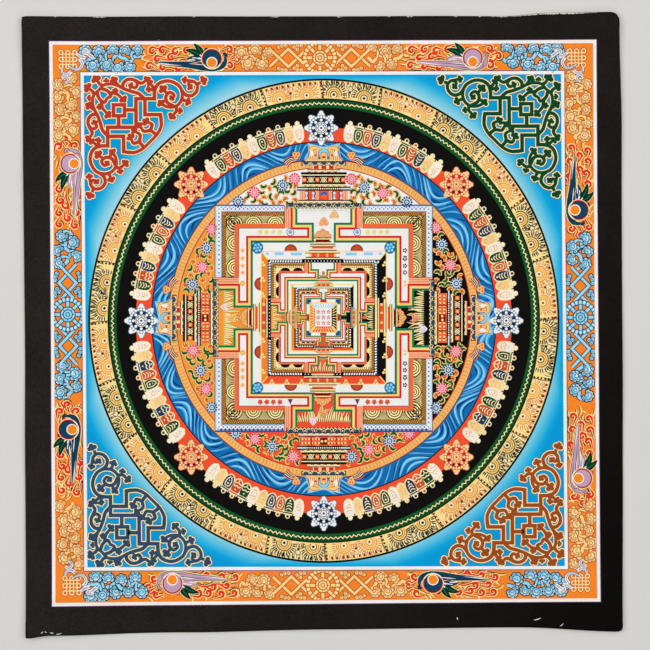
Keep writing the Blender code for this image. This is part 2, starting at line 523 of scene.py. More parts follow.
def on_inner_rings(points):
    """The rings of water and earth: stretched as the others are, and a little higher."""
    return on_rings(points) + INNER_RISE


def on_frame(points):
    """The border: its uprights lean by 8 in a thousand, and its lower strip rises to the right."""
    below = np.clip((-points.imag - FRAME_INNER[1]) / LOWER_REACH, 0, 1)
    x = FRAME_CENTRE.real + points.real - FRAME_LEAN * points.imag
    return x + 1j * (FRAME_CENTRE.imag + points.imag + points.real * (FRAME_RISE + LOWER_RISE * below))


# %% Pots of paint, one for each region and colour
FILM = 0.00002              # metres from one coat to the next
OVER = {"rope": 5, "net": 5, "walls": 5, "courts": 5, "centre": 5, "towers": 7, "porches": 4}   # coats below
pots = {}


def film(region, colour, coat, *shapes, at=on_rings):
    """Puts shapes of one colour into their region's pot. Higher coats cover lower ones."""
    for points, triangles in shapes:
        pots.setdefault((region, colour), []).append((at(points), triangles, coat + OVER.get(region, 0)))


def lay(region, at, *rows, onto=None):
    """Several films of one region: rows of colour, coat and shapes. `onto` repeats or trims each shape."""
    for colour, coat, *shapes in rows:
        film(region, colour, coat, *(map(onto, shapes) if onto else shapes), at=at)


def dry(region, colour):
    """The mesh of one pot. Its triangles are turned to face up, those without area are left out, and each
    point lies on the cloth at its coat's height. Strokes of one coat may cross, so each also lies a hair
    higher than the one before: a new stroke begins at every point that no triangle spans. The map for baking
    is the painting seen from above."""
    points, triangles, coats, first = [], [], [], 0
    for p, t, coat in pots[region, colour]:
        points.append(p)
        triangles.append(t + first)
        coats.append(np.full(len(p), coat + 1.0))
        first += len(p)
    points, triangles, coats = np.concatenate(points), np.concatenate(triangles), np.concatenate(coats)
    span = np.zeros(len(points) + 1)
    np.add.at(span, triangles.min(1), 1)
    np.add.at(span, triangles.max(1), -1)
    stroke_number = np.cumsum(np.cumsum(span)[:-1] == 0)
    a, b, c = points[triangles].T
    area = np.imag((b - a).conj() * (c - a))
    triangles = np.where(area[:, None] < 0, triangles[:, ::-1], triangles)[abs(area) > 1e-5]
    used, triangles = np.unique(triangles, return_inverse=True)
    points, triangles = points[used], triangles.reshape(-1, 3)
    x, y = points.real / 1000, points.imag / 1000
    z = lift(x, y) + THICKNESS + FILM * (coats[used] + 0.9 * (stroke_number[used] % 31) / 31)
    piece = mesh_of(f"{region}_{colour}", np.stack([x, y, z], -1), triangles)
    flat = np.stack([x - x.min(), y - y.min()], -1) / max(np.ptp(x), np.ptp(y))
    piece.data.uv_layers.new(name="OFBake").data.foreach_set("uv", flat[triangles.ravel()].ravel())
    piece.data.materials.append(paint(colour))
    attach(piece, "root")
    return piece


# %% [markdown]
# ## The grounds
#
# First the large areas are laid in: the sky round the mandala, the orange border, and the rings one inside
# the other. The sky is shaded from pale beside the rings to full blue in the corners and along the frame, as
# a painter does with a wet brush, so its colour comes from the distance to the rings' centre, or to the
# frame where that is near.

# %% The sky's shading
SKY_SHADES = ((0.0, "9ed6e7"), (0.28, "74c9e2"), (0.55, "3db8e2"), (0.78, "0aa6dd"), (1.0, "029ad8"))
SKY_CENTRE = (-0.0005, 0.0075, 0.0)
SKY_REACH = (0.2345, 0.2565)        # metres from there where the shading starts and ends
FRAME_REACH = 0.015                 # how far the full blue comes in from the frame


def sky_share(tree):
    """The largest of three shares: of the way out from the rings, and of the ways to the frame's sides."""
    def share_between(start, end, distance):
        spread = node(tree, "ShaderNodeMapRange", from_min=start, from_max=end, value=distance)
        return spread.outputs["Result"]

    share = share_between(*SKY_REACH, distance_from(tree, SKY_CENTRE, (1.0, 1 / RING_TALL, 0.0)))
    middle = (FRAME_CENTRE.real / 1000, FRAME_CENTRE.imag / 1000, 0.0)
    for scale, edge in zip(((1.0, 0.0, 0.0), (0.0, 1.0, 0.0)), np.array(FRAME_INNER) / 1000):
        near = share_between(edge - FRAME_REACH, edge, distance_from(tree, middle, scale))
        share = reckon(tree, "MAXIMUM", share, near)
    return share


paints["cerulean"], sky_finish = matt("cerulean", srgb(COLOURS["cerulean"]), drift=0.12, streaks=0.12)
shaded(paints["cerulean"].node_tree, sky_share(paints["cerulean"].node_tree), SKY_SHADES, sky_finish)
print("sky shades:", len(SKY_SHADES))

# %% Sky and border
OUTER_MIDDLE = -1.5j
OUTER_LEAN = 1.3                    # how far the outer line's top left corner is drawn in
LINE = 3.3                          # width of the ruled white lines
UPRIGHT = 32                        # width of the orange ground under an upright strip

inner_corner = complex(*FRAME_INNER)
outer_corner = complex(*FRAME_OUTER)
(wide, tall), widest = FRAME_INNER, FRAME_OUTER[0]
film("sky", "cerulean", 0, patch(-inner_corner, inner_corner), at=on_frame)
film("border", "marigold", 0, patch(-outer_corner + OUTER_MIDDLE, complex(widest, -tall)),
     patch(complex(-widest, tall), outer_corner + OUTER_MIDDLE),
     *(patch(complex(x, -tall), complex(x + UPRIGHT, tall)) for x in (-widest, wide)), at=on_frame)
for corner, middle, lean in ((inner_corner, 0, 0), (outer_corner, OUTER_MIDDLE, OUTER_LEAN)):
    across, up = corner.real, corner.imag * 1j
    corners = np.array([across + up, up - across + lean, -across - up, across - up])
    frame_line = route(middle + corners, closed=True)
    lay("frame", on_frame, ("plum", 5, stroke(1.003 * frame_line, LINE, closed=True)),
        ("white", 6, stroke(frame_line, LINE, closed=True)))

# %% Rings from the outside in: outer radius, inner radius, colour
RINGS = (
    (234.7, 188.0, "black"),
    (234.0, 216.0, "gilt"),
    (215.2, 207.3, "deep_green"),
    (188.0, 168.0, "vermilion"),
)
INNER_RINGS = ((172.2, 155.2, "water"), (155.2, 147.0, "earth"))
for outer, inner, colour in RINGS:
    film("rings", colour, 1 if colour == "black" else 2, band(inner, outer))
for outer, inner, colour in INNER_RINGS:
    film("rings", colour, 3, band(inner, outer), at=on_inner_rings)

# %% [markdown]
# Inside the rings the floor is parted on its diagonals: white at the top, orange on the left, red below and
# black on the right.

# %% The four floors
FLOORS = ("white", "amber", "vermilion", "black")
for turn, colour in zip(SIDES, FLOORS):
    film("floor", colour, 1, copies(band(0.0, 147.0, 45, 135, depth=25), turn), at=on_inner_rings)

# %% [markdown]
# ## The ring of fire
#
# The outermost ring is fire, in 24 tongues of 15 degrees. Every second one is drawn in black and the others
# in thin brown with dark red spots. Each tongue has two eyes low down, and from them the flames stream out
# to the edge. All the eyes of one kind are drawn at once, as arrays, and a seeded random generator moves
# each of them a little, as a hand does.

# %% Where things stand on a ring
hand = np.random.default_rng(11)        # the unsteadiness of the painter's hand


def outward(angle):
    """The turn that lets what is drawn upright point away from the centre."""
    return -1j * polar(angle)


def about(value, spread, count):
    """As many values as asked for, spread evenly about one."""
    return value + spread * hand.uniform(-1, 1, count)


# %% Tongues of fire
FIRE_INNER, FIRE_OUTER = 216.0, 234.0
TONGUES = 12                            # of each of the two kinds
TONGUE_ANGLE = 15.0
EYE_ANGLES = np.array([4.9, 11.9])      # from a tongue's start
EYE_RADIUS = 219.9
SPOT_ANGLE = 1.36                       # between the spots along the outer edge


def fire(start, line, spot, strength):
    """All the tongues of one kind: where the first starts, the colours of lines and spots, line strength."""
    bold = spot == "black"
    begin = start + 2 * TONGUE_ANGLE * np.arange(TONGUES)
    eye_angle = (begin[:, None] + EYE_ANGLES).ravel() + about(0, 0.5, 2 * TONGUES)
    eye = polar(eye_angle, about(EYE_RADIUS, 0.3, 2 * TONGUES))
    up = outward(eye_angle)[:, None]
    bows = [(line, 6, stroke(eye[:, None] + up * arc(radius, low, 180 - low, 14), width * strength))
            for radius, low, width in ((3.3, -50, 0.6), (5.4, -20, 0.3), (7.6, -8, 0.6))]
    lay("fire", on_rings, ("saffron", 4, filled(eye[:, None] + up * arc(7.4, -28, 208, 14))),
        ("cream", 5, dots(eye, 3.1, 14)), (spot, 7, dots(eye, 1.4 if bold else 1.15, 10)), *bows)
    lean = np.arange(-12, 194, 11.5)
    for shift, colour, width, coat in ((0, line, 0.85, 6), (5.7, "cream", 1.0, 5)):
        angle = np.add.outer(eye_angle - 90, lean + shift) + about(0, 3, (2 * TONGUES, len(lean)))
        root = eye[:, None] + polar(angle, about(8.4, 0.4, angle.shape))
        length = about(4.6, 0.5, angle.shape) + 2.4 * np.clip(np.sin(np.radians(lean)), 0, 1)
        hair = curl(root, angle - 12, length, about(34, 8, angle.shape), steps=6)
        film("fire", colour, coat, stroke(hair, width * strength * swell(6, 0.3)))
    edge = (begin[:, None] + SPOT_ANGLE * (np.arange(int(TONGUE_ANGLE / SPOT_ANGLE)) + 0.6)).ravel()
    edge = edge + about(0, 0.15, len(edge))
    drop = curl(polar(edge, FIRE_OUTER - (0.4 if bold else 1.4)), edge + 180 + 25,
                about(3.4, 0.5, len(edge)), -20, steps=4)
    film("fire", spot, 7, stroke(drop, (1.5 if bold else 2.1) * swell(4, 0.25)))
    for shift, colour, width, coat in ((0.3, line, 0.6, 6), (0.65, "cream", 0.9, 5), (0.95, line, 0.5, 6)):
        tongue = curl(polar(edge + shift, FIRE_OUTER - 0.6), edge + 180 + 30, about(7.4, 0.3, len(edge)),
                      -62, steps=7)
        film("fire", colour, coat, stroke(tongue, width * strength ** 0.5 * swell(7, 0.4)))
    between = begin + EYE_ANGLES.mean() + about(0, 0.3, TONGUES)
    swirl = curl(polar(between - 0.5, 226.2), between - 60, 17.5, 430, 0.8, 18)
    folds = [curl(polar(between + side * (0.25 + 0.55 * k), 224.0 - 0.6 * k), between + 180, 7.0 - k,
                  side * 35, steps=6) for side in (-1, 1) for k in range(3)]
    ridge = np.arange(217.6, 233, 3.6)[:, None]
    lay("fire", on_rings, ("cream", 5, dots(polar(between, 228.4), 3.7, 16)), (line, 6, stroke(swirl, 0.6)),
        (spot, 7, dots(polar(between - 0.1, 223.6), 1.3, 7)),
        *((line, 6, stroke(fold, 0.6 * strength ** 0.5 * swell(6))) for fold in folds),
        (spot, 7, dots(polar(begin + 0.35 + 0.03 * (ridge - FIRE_INNER), ridge), 1.1, 7)))


def hoop(radius, width):
    """A line round a whole ring."""
    return stroke(arc(radius)[:-1], width, closed=True)


fire(0.0, "ember", "madder", 1.05)
fire(TONGUE_ANGLE, "umber", "black", 1.4)
wavy = np.linspace(0, 1, 8)
parting = np.arange(0, 360, TONGUE_ANGLE)[:, None] + 0.5 * wavy + 0.12 * np.sin(9 * wavy)
parting = polar(parting, FIRE_INNER + (FIRE_OUTER - FIRE_INNER) * wavy)
lay("fire", on_rings, ("umber", 6, stroke(parting, 0.8)), ("black", 9, hoop(234.6, 1.9), hoop(215.6, 1.2)))

# %% [markdown]
# Inside the fire runs a green band with a cream zigzag: one line over the whole circle, whose radius jumps
# out and in at every step.

# %% The green band
ZIGZAGS = 284
angle = np.linspace(0, 360, 2 * ZIGZAGS, endpoint=False) + about(0, 0.12, 2 * ZIGZAGS)
reach = 211.4 + 1.0 * (-1.0) ** np.arange(2 * ZIGZAGS) + about(0, 0.25, 2 * ZIGZAGS)
lay("band", on_rings, ("deep_green", 8, band(207.3, 215.4, depth=9)),
    ("moss", 9, band(207.5, 209.6, depth=9)),
    ("cream", 10, stroke(polar(angle, reach), 0.9, closed=True)))

# %% [markdown]
# ## The row of pendants and the eight wheels
#
# On the seam of the black and the red ring hangs a row of small pendants in five colours, each with a cream
# outline. Here each is a lotus bud that hangs from a bar: a filled petal shape with its own cream tracery,
# and a ringed pearl over the bar. The outline is the same bud drawn larger, one coat lower.

# %% Lotus pendants
BUD_COLOURS = ("ivory", "wheat", "navy", "brick", "pine")
BUDS = 11                               # between two wheels
BUD_ANGLE = 2.92
SEAM = 188.0                            # radius where black meets red


def petal(grow):
    """The outline of a hanging bud: its half width is a power of the way down, bulging a little at first."""
    down = np.linspace(0, 1, 9)
    half = (3.8 + 0.8 * np.sin(np.pi * down ** 0.7)) * (1 - down ** 6) ** 0.6 + grow
    side = half + 1j * (1.2 + grow - (13.6 + 2 * grow) * down)
    return np.concatenate([side, -side[::-1].conj()])


def tracery(kind):
    """The cream lines inside a bud, in three kinds: a smaller bud, a pair of hooks, or a row of arches."""
    if kind == 0:
        return [stroke([petal(-1.9)], 0.9, closed=True), dots([-3.4j, -6.4j], [1.0, 0.6], 7)]
    if kind == 1:
        hooks = curl([-0.2 - 9.6j, -0.2 - 6.0j], [105, 100], [6.0, 5.0], [150, 170], steps=7)
        return [both(stroke(hooks, 0.95)), dots([-10.8j, -1.6j], 0.8, 6)]
    arches = np.array([1j, -2j, -5j])[:, None] + np.array([3.0, 2.9, 2.4])[:, None] * arc(1, 205, 335, 16)
    return [stroke(arches, 0.9), dots(-9.6j, 1.0, 7)]


def hung_at(angles):
    """The function that repeats a shape at angles on the seam, upright outwards."""
    return lambda shape: copies(shape, outward(angles), polar(angles, SEAM))


bud_angle = (45 * np.arange(8)[:, None] + 22.5 + BUD_ANGLE * (np.arange(BUDS) - 5)).ravel()
bud_number = np.tile(np.arange(BUDS), 8)
bud_kind = hand.integers(0, 3, len(bud_angle))
for number, colour in enumerate(BUD_COLOURS):
    here = bud_number % 5 == number
    for kind in range(3):
        lay("buds", on_rings, ("cream", 4, filled(petal(0.95))), (colour, 5, filled(petal(0.0))),
            ("cream" if number > 1 else "tan", 6, *tracery(kind)),
            onto=hung_at(bud_angle[here & (bud_kind == kind)]))
    lay("buds", on_rings, ("cream", 7, dots(5.6j, 2.5, 10), stroke([-4.4 + 2.6j, 4.4 + 2.6j], 3.2)),
        (colour, 8, dots(5.8j, 1.4, 8), stroke([-4.0 + 2.3j, 4.0 + 2.3j], 1.3)),
        onto=hung_at(bud_angle[here]))
pale = bud_angle[bud_number % 5 < 2]
pale = np.repeat(pale, 2) + np.tile([-0.5, 0.45], len(pale))
film("buds", "orange", 6, dots(polar(pale, about(182, 3.4, len(pale))), 0.55, 6))

# %% Wheels of pearls
WHEEL_RADIUS = 187.5
WHEEL_SHIFT = 0.8                       # the top wheel sits this many degrees to the left
WHEELS = (                              # first angle, pearl, gap, hub line, ground between the spokes
    (0.0, "white", "dusk", "navy", "navy"),
    (45.0, "apricot", "brick", "brick", "red"),
)


def wheel(place, pearl, gap, line, ground):
    """A wheel of pearls: a rim of beads, eight beaded spokes, eight knobs on the rim and a ringed hub."""
    eight = polar(np.arange(0, 360, 45) + 90)
    necks = polar(np.add.outer(np.arange(0, 360, 45) + 90, [-10, 10]).ravel(), 13.3)
    gaps = 8.0 * polar(np.arange(22.5, 180, 45) + 180)
    lay("wheels", on_rings,
        (gap, 6, dots(place + 14.4 * eight, 3.0, 12), dots(place + necks, 1.7, 8), dots(place, 13.0, 32)),
        (pearl, 7, dots(place + 14.7 * eight, 2.2, 12), dots(place + necks, 1.1, 8)),
        (pearl, 8, dots(place + polar(np.arange(0, 360, 15), 11.1), 1.3, 8)),
        (ground, 8, dots(place, 9.4, 28)), ("black", 9, dots(place + gaps, 1.2, 7)),
        (pearl, 10, dots(place + 7.8 * eight, 1.5, 9), dots(place, 6.0, 22)),
        (line, 11, loops(place, 5.0, 0.6, 20), loops(place, 3.1, 0.55, 16), dots(place, 1.2, 8),
         stroke(place + np.stack([3.4 * eight, 4.8 * eight], -1), 0.55)))


for first, *finish in WHEELS:
    for angle in first + np.arange(0, 360, 90):
        wheel(polar(angle + WHEEL_SHIFT * (angle == 90), WHEEL_RADIUS - 5 * (angle % 180 == 0)), *finish)

# %% [markdown]
# ## Water and earth
#
# The blue ring is water. Its light strokes look like waves that lean on each other: arches stand on the
# inner edge, arcs hang from the outer one, and between them lines run across. All of them are one family of
# curves. Each has the same sine wave as its height across the ring, plus its own offset, and is drawn only
# where it is inside.

# %% Water
WATER_OUTER, WATER_INNER, _ = INNER_RINGS[0]
WATER_MIDDLE = (WATER_INNER + WATER_OUTER) / 2
WAVES = 13
WAVE_HEIGHT = 15.0
WAVE_LEAN = 0.30                        # how far a wave's top runs ahead, as a share of its height
CURRENTS = (                            # offset from the ring's middle, width at the crest
    (-16.5, 2.0), (-10.5, 2.8), (-3.5, 1.4), (3.5, 1.3), (10.0, 3.0), (16.0, 2.2),
)


def current(offset, width, coat, colour):
    """One curve of the water over the whole ring; where it leaves the ring its width is nought."""
    way = np.radians(np.linspace(0, 360, WAVES * 44 + 1))
    phase = WAVES * way + 0.55 * np.sin(3 * way + 1) + 0.4 * np.sin(2 * way)
    height = offset + (WAVE_HEIGHT + 2.5 * np.sin(5 * way + offset)) * np.sin(phase)
    crest = np.abs(np.sin(phase))
    inside = np.clip((7.9 - np.abs(height)) / 2.5, 0, 1)
    angle = way + WAVE_LEAN * height / WATER_MIDDLE + 0.02 * np.sin(7 * way + offset)
    path = (WATER_MIDDLE + np.clip(height, -8.4, 8.4)) * np.exp(1j * angle)
    film("water", colour, coat, stroke(path, (0.35 + 0.65 * crest ** 2) * width * inside), at=on_inner_rings)


for offset, width in CURRENTS:
    current(offset - 2.4, 1.4 + width / 3, 4, "deep_blue")
    current(offset + 0.3, width + 0.7, 5, "stream")
    current(offset, width * 0.8, 6, "light_blue")
lay("water", on_inner_rings, ("black", 7, hoop(WATER_OUTER, 1.0)), ("madder", 7, hoop(WATER_INNER, 0.9)))

# %% The ring of earth: pairs of small arcs, like scales
SCALES = 268
scale_angle = np.linspace(0, 360, SCALES, endpoint=False) + about(0, 0.2, SCALES)
for shift, colour, width in ((0, "ochre", 0.5), (0.42, "honey", 0.5), (0.75, "saffron", 0.6)):
    bow = curl(polar(scale_angle + shift, 148.0), scale_angle + 38, about(7.6, 0.4, SCALES), -85, steps=6)
    film("earth", colour, 4, stroke(bow, width * swell(6)), at=on_inner_rings)
film("earth", "rust", 5, hoop(147.2, 0.9), at=on_inner_rings)

# %% [markdown]
# ## The palace
#
# Three square palaces stand one inside the other, all built alike: outside a rope border, then a wall of
# gold net, an orange beam, a white frieze, and three ruled lines of red, yellow and green round a white
# court. In the middle of each side the walls turn outwards into a gate: first a narrow neck, then a wider
# porch between two pillars. So one set of functions draws all three from a table of sizes. Everything is
# drawn for the top side only, its left half is mirrored, and the product with `SIDES` turns it round.

# %% Sizes of the three palaces: distances from the centre, in millimetres
PALACE_ROWS = ("rope_out", "rope", "net_out", "net", "beam", "frieze", "red", "yellow", "green",
               "jewel_out", "jewel", "neck", "porch", "porch_floor", "pillar", "pillar_out")
PALACES = {
    "outer": (108.5, 102.2, 101.7, 89.3, 84.9, 77.6, 75.6, 73.1, 71.0,
              62.5, 56.0, 10.0, 26.5, 90.3, 32.8, 39.3),
    "middle": (54.5, 51.6, 51.0, 44.0, 41.9, 38.4, 37.1, 35.7, 34.3,
               31.2, 28.3, 3.8, 10.9, 45.6, 14.7, 18.4),
    "inner": (27.8, 25.7, 25.4, 22.6, 21.4, 19.6, 18.7, 17.9, 16.9,
              13.6, 8.3, 1.2, 4.2, 23.3, 6.2, 8.2),
}
PALACE_PLACES = {                       # centre on the canvas, and height over width
    "outer": (1.3 + 7.25j, 1.033),
    "middle": (0.2 + 7.6j, 1.062),
    "inner": (0.9 + 7.8j, 1.085),
}
SIDE_COLOURS = ("white", "marigold", "vermilion", "black")      # top, left, bottom, right
HEIGHTS = (-108.5, -76.0, -72.0, -62.0, -54.0, 54.0, 62.0, 90.0, 108.5)     # of the outer palace's drawing
RISES = (-0.8, 0.0, -1.0, -1.6, 0.0, 0.0, 2.0, 2.0, 0.3)                    # how far the painter missed each


def standing_in(name):
    """The function that puts a palace's drawing on the canvas. The outer palace's upper wall sits 2 mm too
    high, and its court ends lower than it should."""
    centre, tall = PALACE_PLACES[name]
    missed = RISES if name == "outer" else np.zeros(len(RISES))
    return lambda p: centre + p.real + 1j * (tall * p.imag + np.interp(p.imag, HEIGHTS, missed))


def on_sides(shape):
    """A shape of the top side on all four."""
    return copies(shape, SIDES)


def block(left, right, low, high):
    """A plain rectangle."""
    return filled([complex(left, low), complex(right, low), complex(right, high), complex(left, high)])


def wall(low, high, gate=0):
    """Both halves of one side of a square band, from its mitred corner to the gate."""
    half = [complex(-low, low), complex(-high, high), complex(-gate, high), complex(-gate, low)]
    return both(filled(half))


def walls(low, high, gate=0):
    """A square band on all four sides."""
    return on_sides(wall(low, high, gate))


def on_halves(shape):
    """A shape of the top side's left half on all eight half sides."""
    return on_sides(both(shape))


def mitred(paths):
    """Paths of the left half of the top side, pulled in to the diagonal where they cross it."""
    return np.maximum(paths.real, -paths.imag) + 1j * paths.imag


def along(start, end, pitch):
    """Places from one distance to another, as near the pitch as divides the way evenly."""
    count = max(int(round(abs(end - start) / pitch)), 1)
    return np.linspace(start, end, count, endpoint=False) + (end - start) / count / 2


# %% Rope borders
def rope(size, at):
    """The outer palace's rope: a chain of white loops on pale blue. It is bolder at the bottom."""
    low, high, gate = size["rope"], size["rope_out"], size["pillar_out"]
    eye = along(-high + 2, -gate - 2.4, 4.1) + 1j * ((low + high) / 2 - 0.5)
    tail = curl(eye + 1.3j - 0.9, 20, 4.6, -110, steps=5)
    lay("rope", at, ("ice", 2, walls(low, high, gate)),
        ("ultramarine", 3, both(dots(eye + 2.0 + 0.9j, 1.1, 7)), copies(both(dots(eye, 2.5, 9)), -1),
         copies(both(dots(eye + 2 + 1.8j, 1.5, 7)), -1)),
        ("steel", 3, on_halves(dots(eye, 1.0, 7))),
        ("white", 4, on_halves(loops(eye, 1.5, 1.0, 9)), on_halves(stroke(mitred(tail), 1.0))),
        ("steel", 5, walls(low - 0.4, low + 0.2, gate)), ("navy", 5, walls(high - 0.1, high + 0.5, gate)),
        ("ultramarine", 6, wall(high - 0.3, high + 0.9, gate),
         copies(wall(high - 0.6, high + 1.1, gate), -1)))


def twist(size, at):
    """The small palaces' rope: white strands on black, one slanting stroke after the other."""
    low, high, gate = size["rope"], size["rope_out"], size["pillar_out"]
    s = along(-high + 0.6, -gate, 2.5)
    strand = np.stack([s + 1j * (low + 0.5), s + 1.0 + 1j * (high - 0.5)], -1)
    lay("rope", at, ("navy", 2, walls(low - 0.3, high + 0.2, gate)),
        ("black", 2.5, walls(low - 0.3, low + 0.4, gate)),
        ("white", 4, on_halves(stroke(mitred(strand), 1.35))))


# %% Nets of gold
NET_PITCH = 22.0


def net(size, at):
    """The outer palace's net: above a hatched brown strip, below fans of gold hair between nested arcs."""
    low, high, gate = size["net"], size["net_out"], size["pillar_out"]
    strip = high - 4.0
    s = along(-high, -gate, 2.1)
    hatch = np.stack([s + 1j * (strip - 0.2), np.minimum(s + 2.6, -gate) + 1j * high], -1)
    lay("net", at, ("flaxen", 2, walls(low, high, gate)), ("bronze", 3, walls(strip, high, gate)),
        ("umber", 4, on_halves(stroke(mitred(hatch), 0.6)), walls(high - 0.2, high + 0.5, gate)))
    nests = -(gate + NET_PITCH * (np.arange(3) + 0.42)) + 1j * low
    fans = -(gate + NET_PITCH * (np.arange(3) - 0.08)) + 1j * (strip + 9)
    for lean in np.arange(-33, 34, 4.6):
        way = polar(lean - 90)
        hair = np.stack([fans + 9.0 * way, fans + (17.2 - 0.03 * abs(lean)) * way], -1)
        hair = np.minimum(hair.real, -gate) + 1j * hair.imag
        film("net", "black", 4, on_halves(stroke(mitred(hair), [0.2, 0.8])), at=at)
    for centres, start in ((nests, 180), (np.array([complex(-low, low)]), 135)):
        film("net", "flaxen", 5, on_halves(filled(mitred(centres[:, None] + arc(8.4, start, 0, 12)))), at=at)
        for radius in (8.1, 5.8, 3.5, 1.2):
            bows = centres[:, None] + arc(radius, start, 0, 12)
            bows = mitred(np.minimum(bows.real, -gate) + 1j * bows.imag)
            film("net", "umber", 6, on_halves(stroke(bows, 0.85)), at=at)


def garland(size, at):
    """The small palaces' net: a hatched strip, gold drops with dark gaps, and low black mounds."""
    low, high, gate = size["net"], size["net_out"], size["pillar_out"]
    thick = high - low
    s = along(-high, -gate, 2.0)
    hatch = np.stack([s + 1j * (high - 0.32 * thick), s + 1.3 + 1j * high], -1)
    gaps = np.stack([s + 1j * (low + 0.42 * thick), s + 0.4 + 1j * (high - 0.36 * thick)], -1)
    mounds = along(-low + 0.3, -gate, 1.55 * thick)[:, None] + 1j * low
    bow = arc(1.0, 180, 0, 20)
    bow = thick * (0.68 * bow.real + 0.44j * bow.imag)
    lay("net", at, ("flaxen", 2, walls(low, high, gate)),
        ("bronze", 3, walls(high - 0.34 * thick, high, gate)),
        ("umber", 4, on_halves(stroke(mitred(hatch), 0.6))),
        ("black", 4, on_halves(stroke(mitred(gaps), [0.9, 0.3]))),
        ("black", 5, on_halves(filled(mitred(mounds + bow)))),
        ("gilt", 6, on_halves(stroke(mitred(mounds + 1.12 * bow), 0.09 * thick))))


# %% Beams, friezes, ruled lines and pillars
def ruled(size, offset, width):
    """A line that follows the court's edge at an offset: along the wall, out through the neck, along the
    porch floor and out along the porch's side."""
    wall_row, neck, porch = size["green"] + offset, -size["neck"] - offset, -size["porch"] - offset
    floor_row = size["porch_floor"] - offset
    corners = [complex(-wall_row - width / 2, wall_row), complex(neck, wall_row), complex(neck, floor_row),
               complex(porch, floor_row), complex(porch, size["rope_out"] - 1.5)]
    return both(stroke(corners, width))


def masonry(size, at):
    """Beam, frieze, pillars and the three ruled lines."""
    green, yellow, red, frieze, beam = (size[row] for row in ("green", "yellow", "red", "frieze", "beam"))
    gate, pillar, end = size["pillar_out"], size["pillar"], size["rope_out"]
    lay("walls", at, ("coral", 2, walls(beam, size["net"], gate)),
        ("white", 2, walls(frieze, beam, size["neck"] + frieze - green)),
        ("plum", 4, walls(beam - 0.2, beam + 0.3, gate)),
        ("shell", 3, on_halves(block(-gate, -pillar, beam, end))))
    for k, share in enumerate((0.0, 0.36, 0.68, 1.0)):
        s = -pillar - share * (gate - pillar)
        film("walls", "coral" if k % 3 else "red", 4, on_halves(block(s - 0.3, s + 0.3, beam, end)), at=at)
    for low, high, colour in ((green, yellow, "green"), (yellow, red, "yellow"), (red, frieze, "red")):
        offset, width = (low + high) / 2 - green, high - low + 0.08
        film("walls", colour, 5, on_sides(ruled(size, offset, width)), at=at)


# %% Courts and jewel bands
def floret(places, radius, heart, at):
    """Three petals round a dark eye."""
    petals = (places[:, None] + radius * np.exp(2j * np.pi * (np.arange(3) / 3 + 0.25))).ravel()
    lay("courts", at, ("gilt", 6, dots(petals, 0.78 * radius, 8)),
        (heart, 7, dots(places, 0.4 * radius, 6)))


def court(size, at):
    """The white court inside the lines and the band of jewels in each side's own colour, with mitred
    corners and a cream edge on the outside. The outer palace's has a black line inside as well."""
    low, high = size["jewel"], size["jewel_out"]
    film("courts", "white", 2, walls(high, size["green"] + 0.2), at=at)
    for turn, colour in zip(SIDES, SIDE_COLOURS):
        film("courts", colour, 3, copies(wall(low, high), turn), at=at)
    corner = stroke([complex(-low, low), complex(-high, high)], (high - low) / 8 + 0.2)
    film("courts", "yellow", 5, walls(high - 0.4, high + 0.5), on_sides(corner), at=at)
    if low > 10:
        film("courts", "black", 4, walls(low - 0.8, low), at=at)


sizes = {name: dict(zip(PALACE_ROWS, row)) for name, row in PALACES.items()}
for name, size in sizes.items():
    at = standing_in(name)
    masonry(size, at)
    court(size, at)
    (rope if name == "outer" else twist)(size, at)
    (net if name == "outer" else garland)(size, at)

# %% Jewels of the outer court
at = standing_in("outer")
s = np.array([-52, -37, -22, -7])
film("courts", "light_blue", 4, both(stroke([-58 + 60.6j, -55 + 60.6j], 1.8)),
     both(stroke([-49 + 60.6j, -40 + 60.6j], 2.0)), both(stroke([-33 + 60.4j, -22 + 60.4j], 2.2)), at=at)
gem = np.concatenate([s + 59.5j, -s + 59.5j])
for turn, heart in ((1j, "ochre"), (-1, "madder"), (-1j, "umber")):
    floret(turn * (gem + 1.6j), 1.7, heart, at)
for turn in SIDES:
    for side in (-33, 33):
        half_disc = turn * (arc(6.1, 180, 0, 12) + side + 63.1j)
        bows = [turn * (arc(radius, 172, 8, 12) + side + 63.3j) for radius in (2.0, 3.7)]
        lay("courts", at, ("rust", 5, filled(half_disc)), *(("ember", 6, stroke(bow, 0.45)) for bow in bows),
            ("madder", 6, stroke(half_disc, 0.5)))
for corner in (-66.2 + 66.2j) * SIDES:
    lay("courts", at, ("water", 6, dots(corner, 5.6, 18)),
        ("light_blue", 7, dots(corner + polar(np.arange(0, 360, 60) + 10, 3.3), 1.45, 8),
         dots(corner, 1.3, 8)), ("navy", 7, loops(corner, 5.4, 0.5, 18)))
ORNAMENT = -33.5 + 81.2j                # the place of the frieze's round ornament
lay("walls", at, ("water", 6, loops(ORNAMENT, 3.6, 0.7), loops(ORNAMENT, 1.6, 0.6),
                  dots(ORNAMENT, 0.8, 8)), onto=both)

# %% [markdown]
# The white friezes carry rows of small rosettes, in each side's own colours.

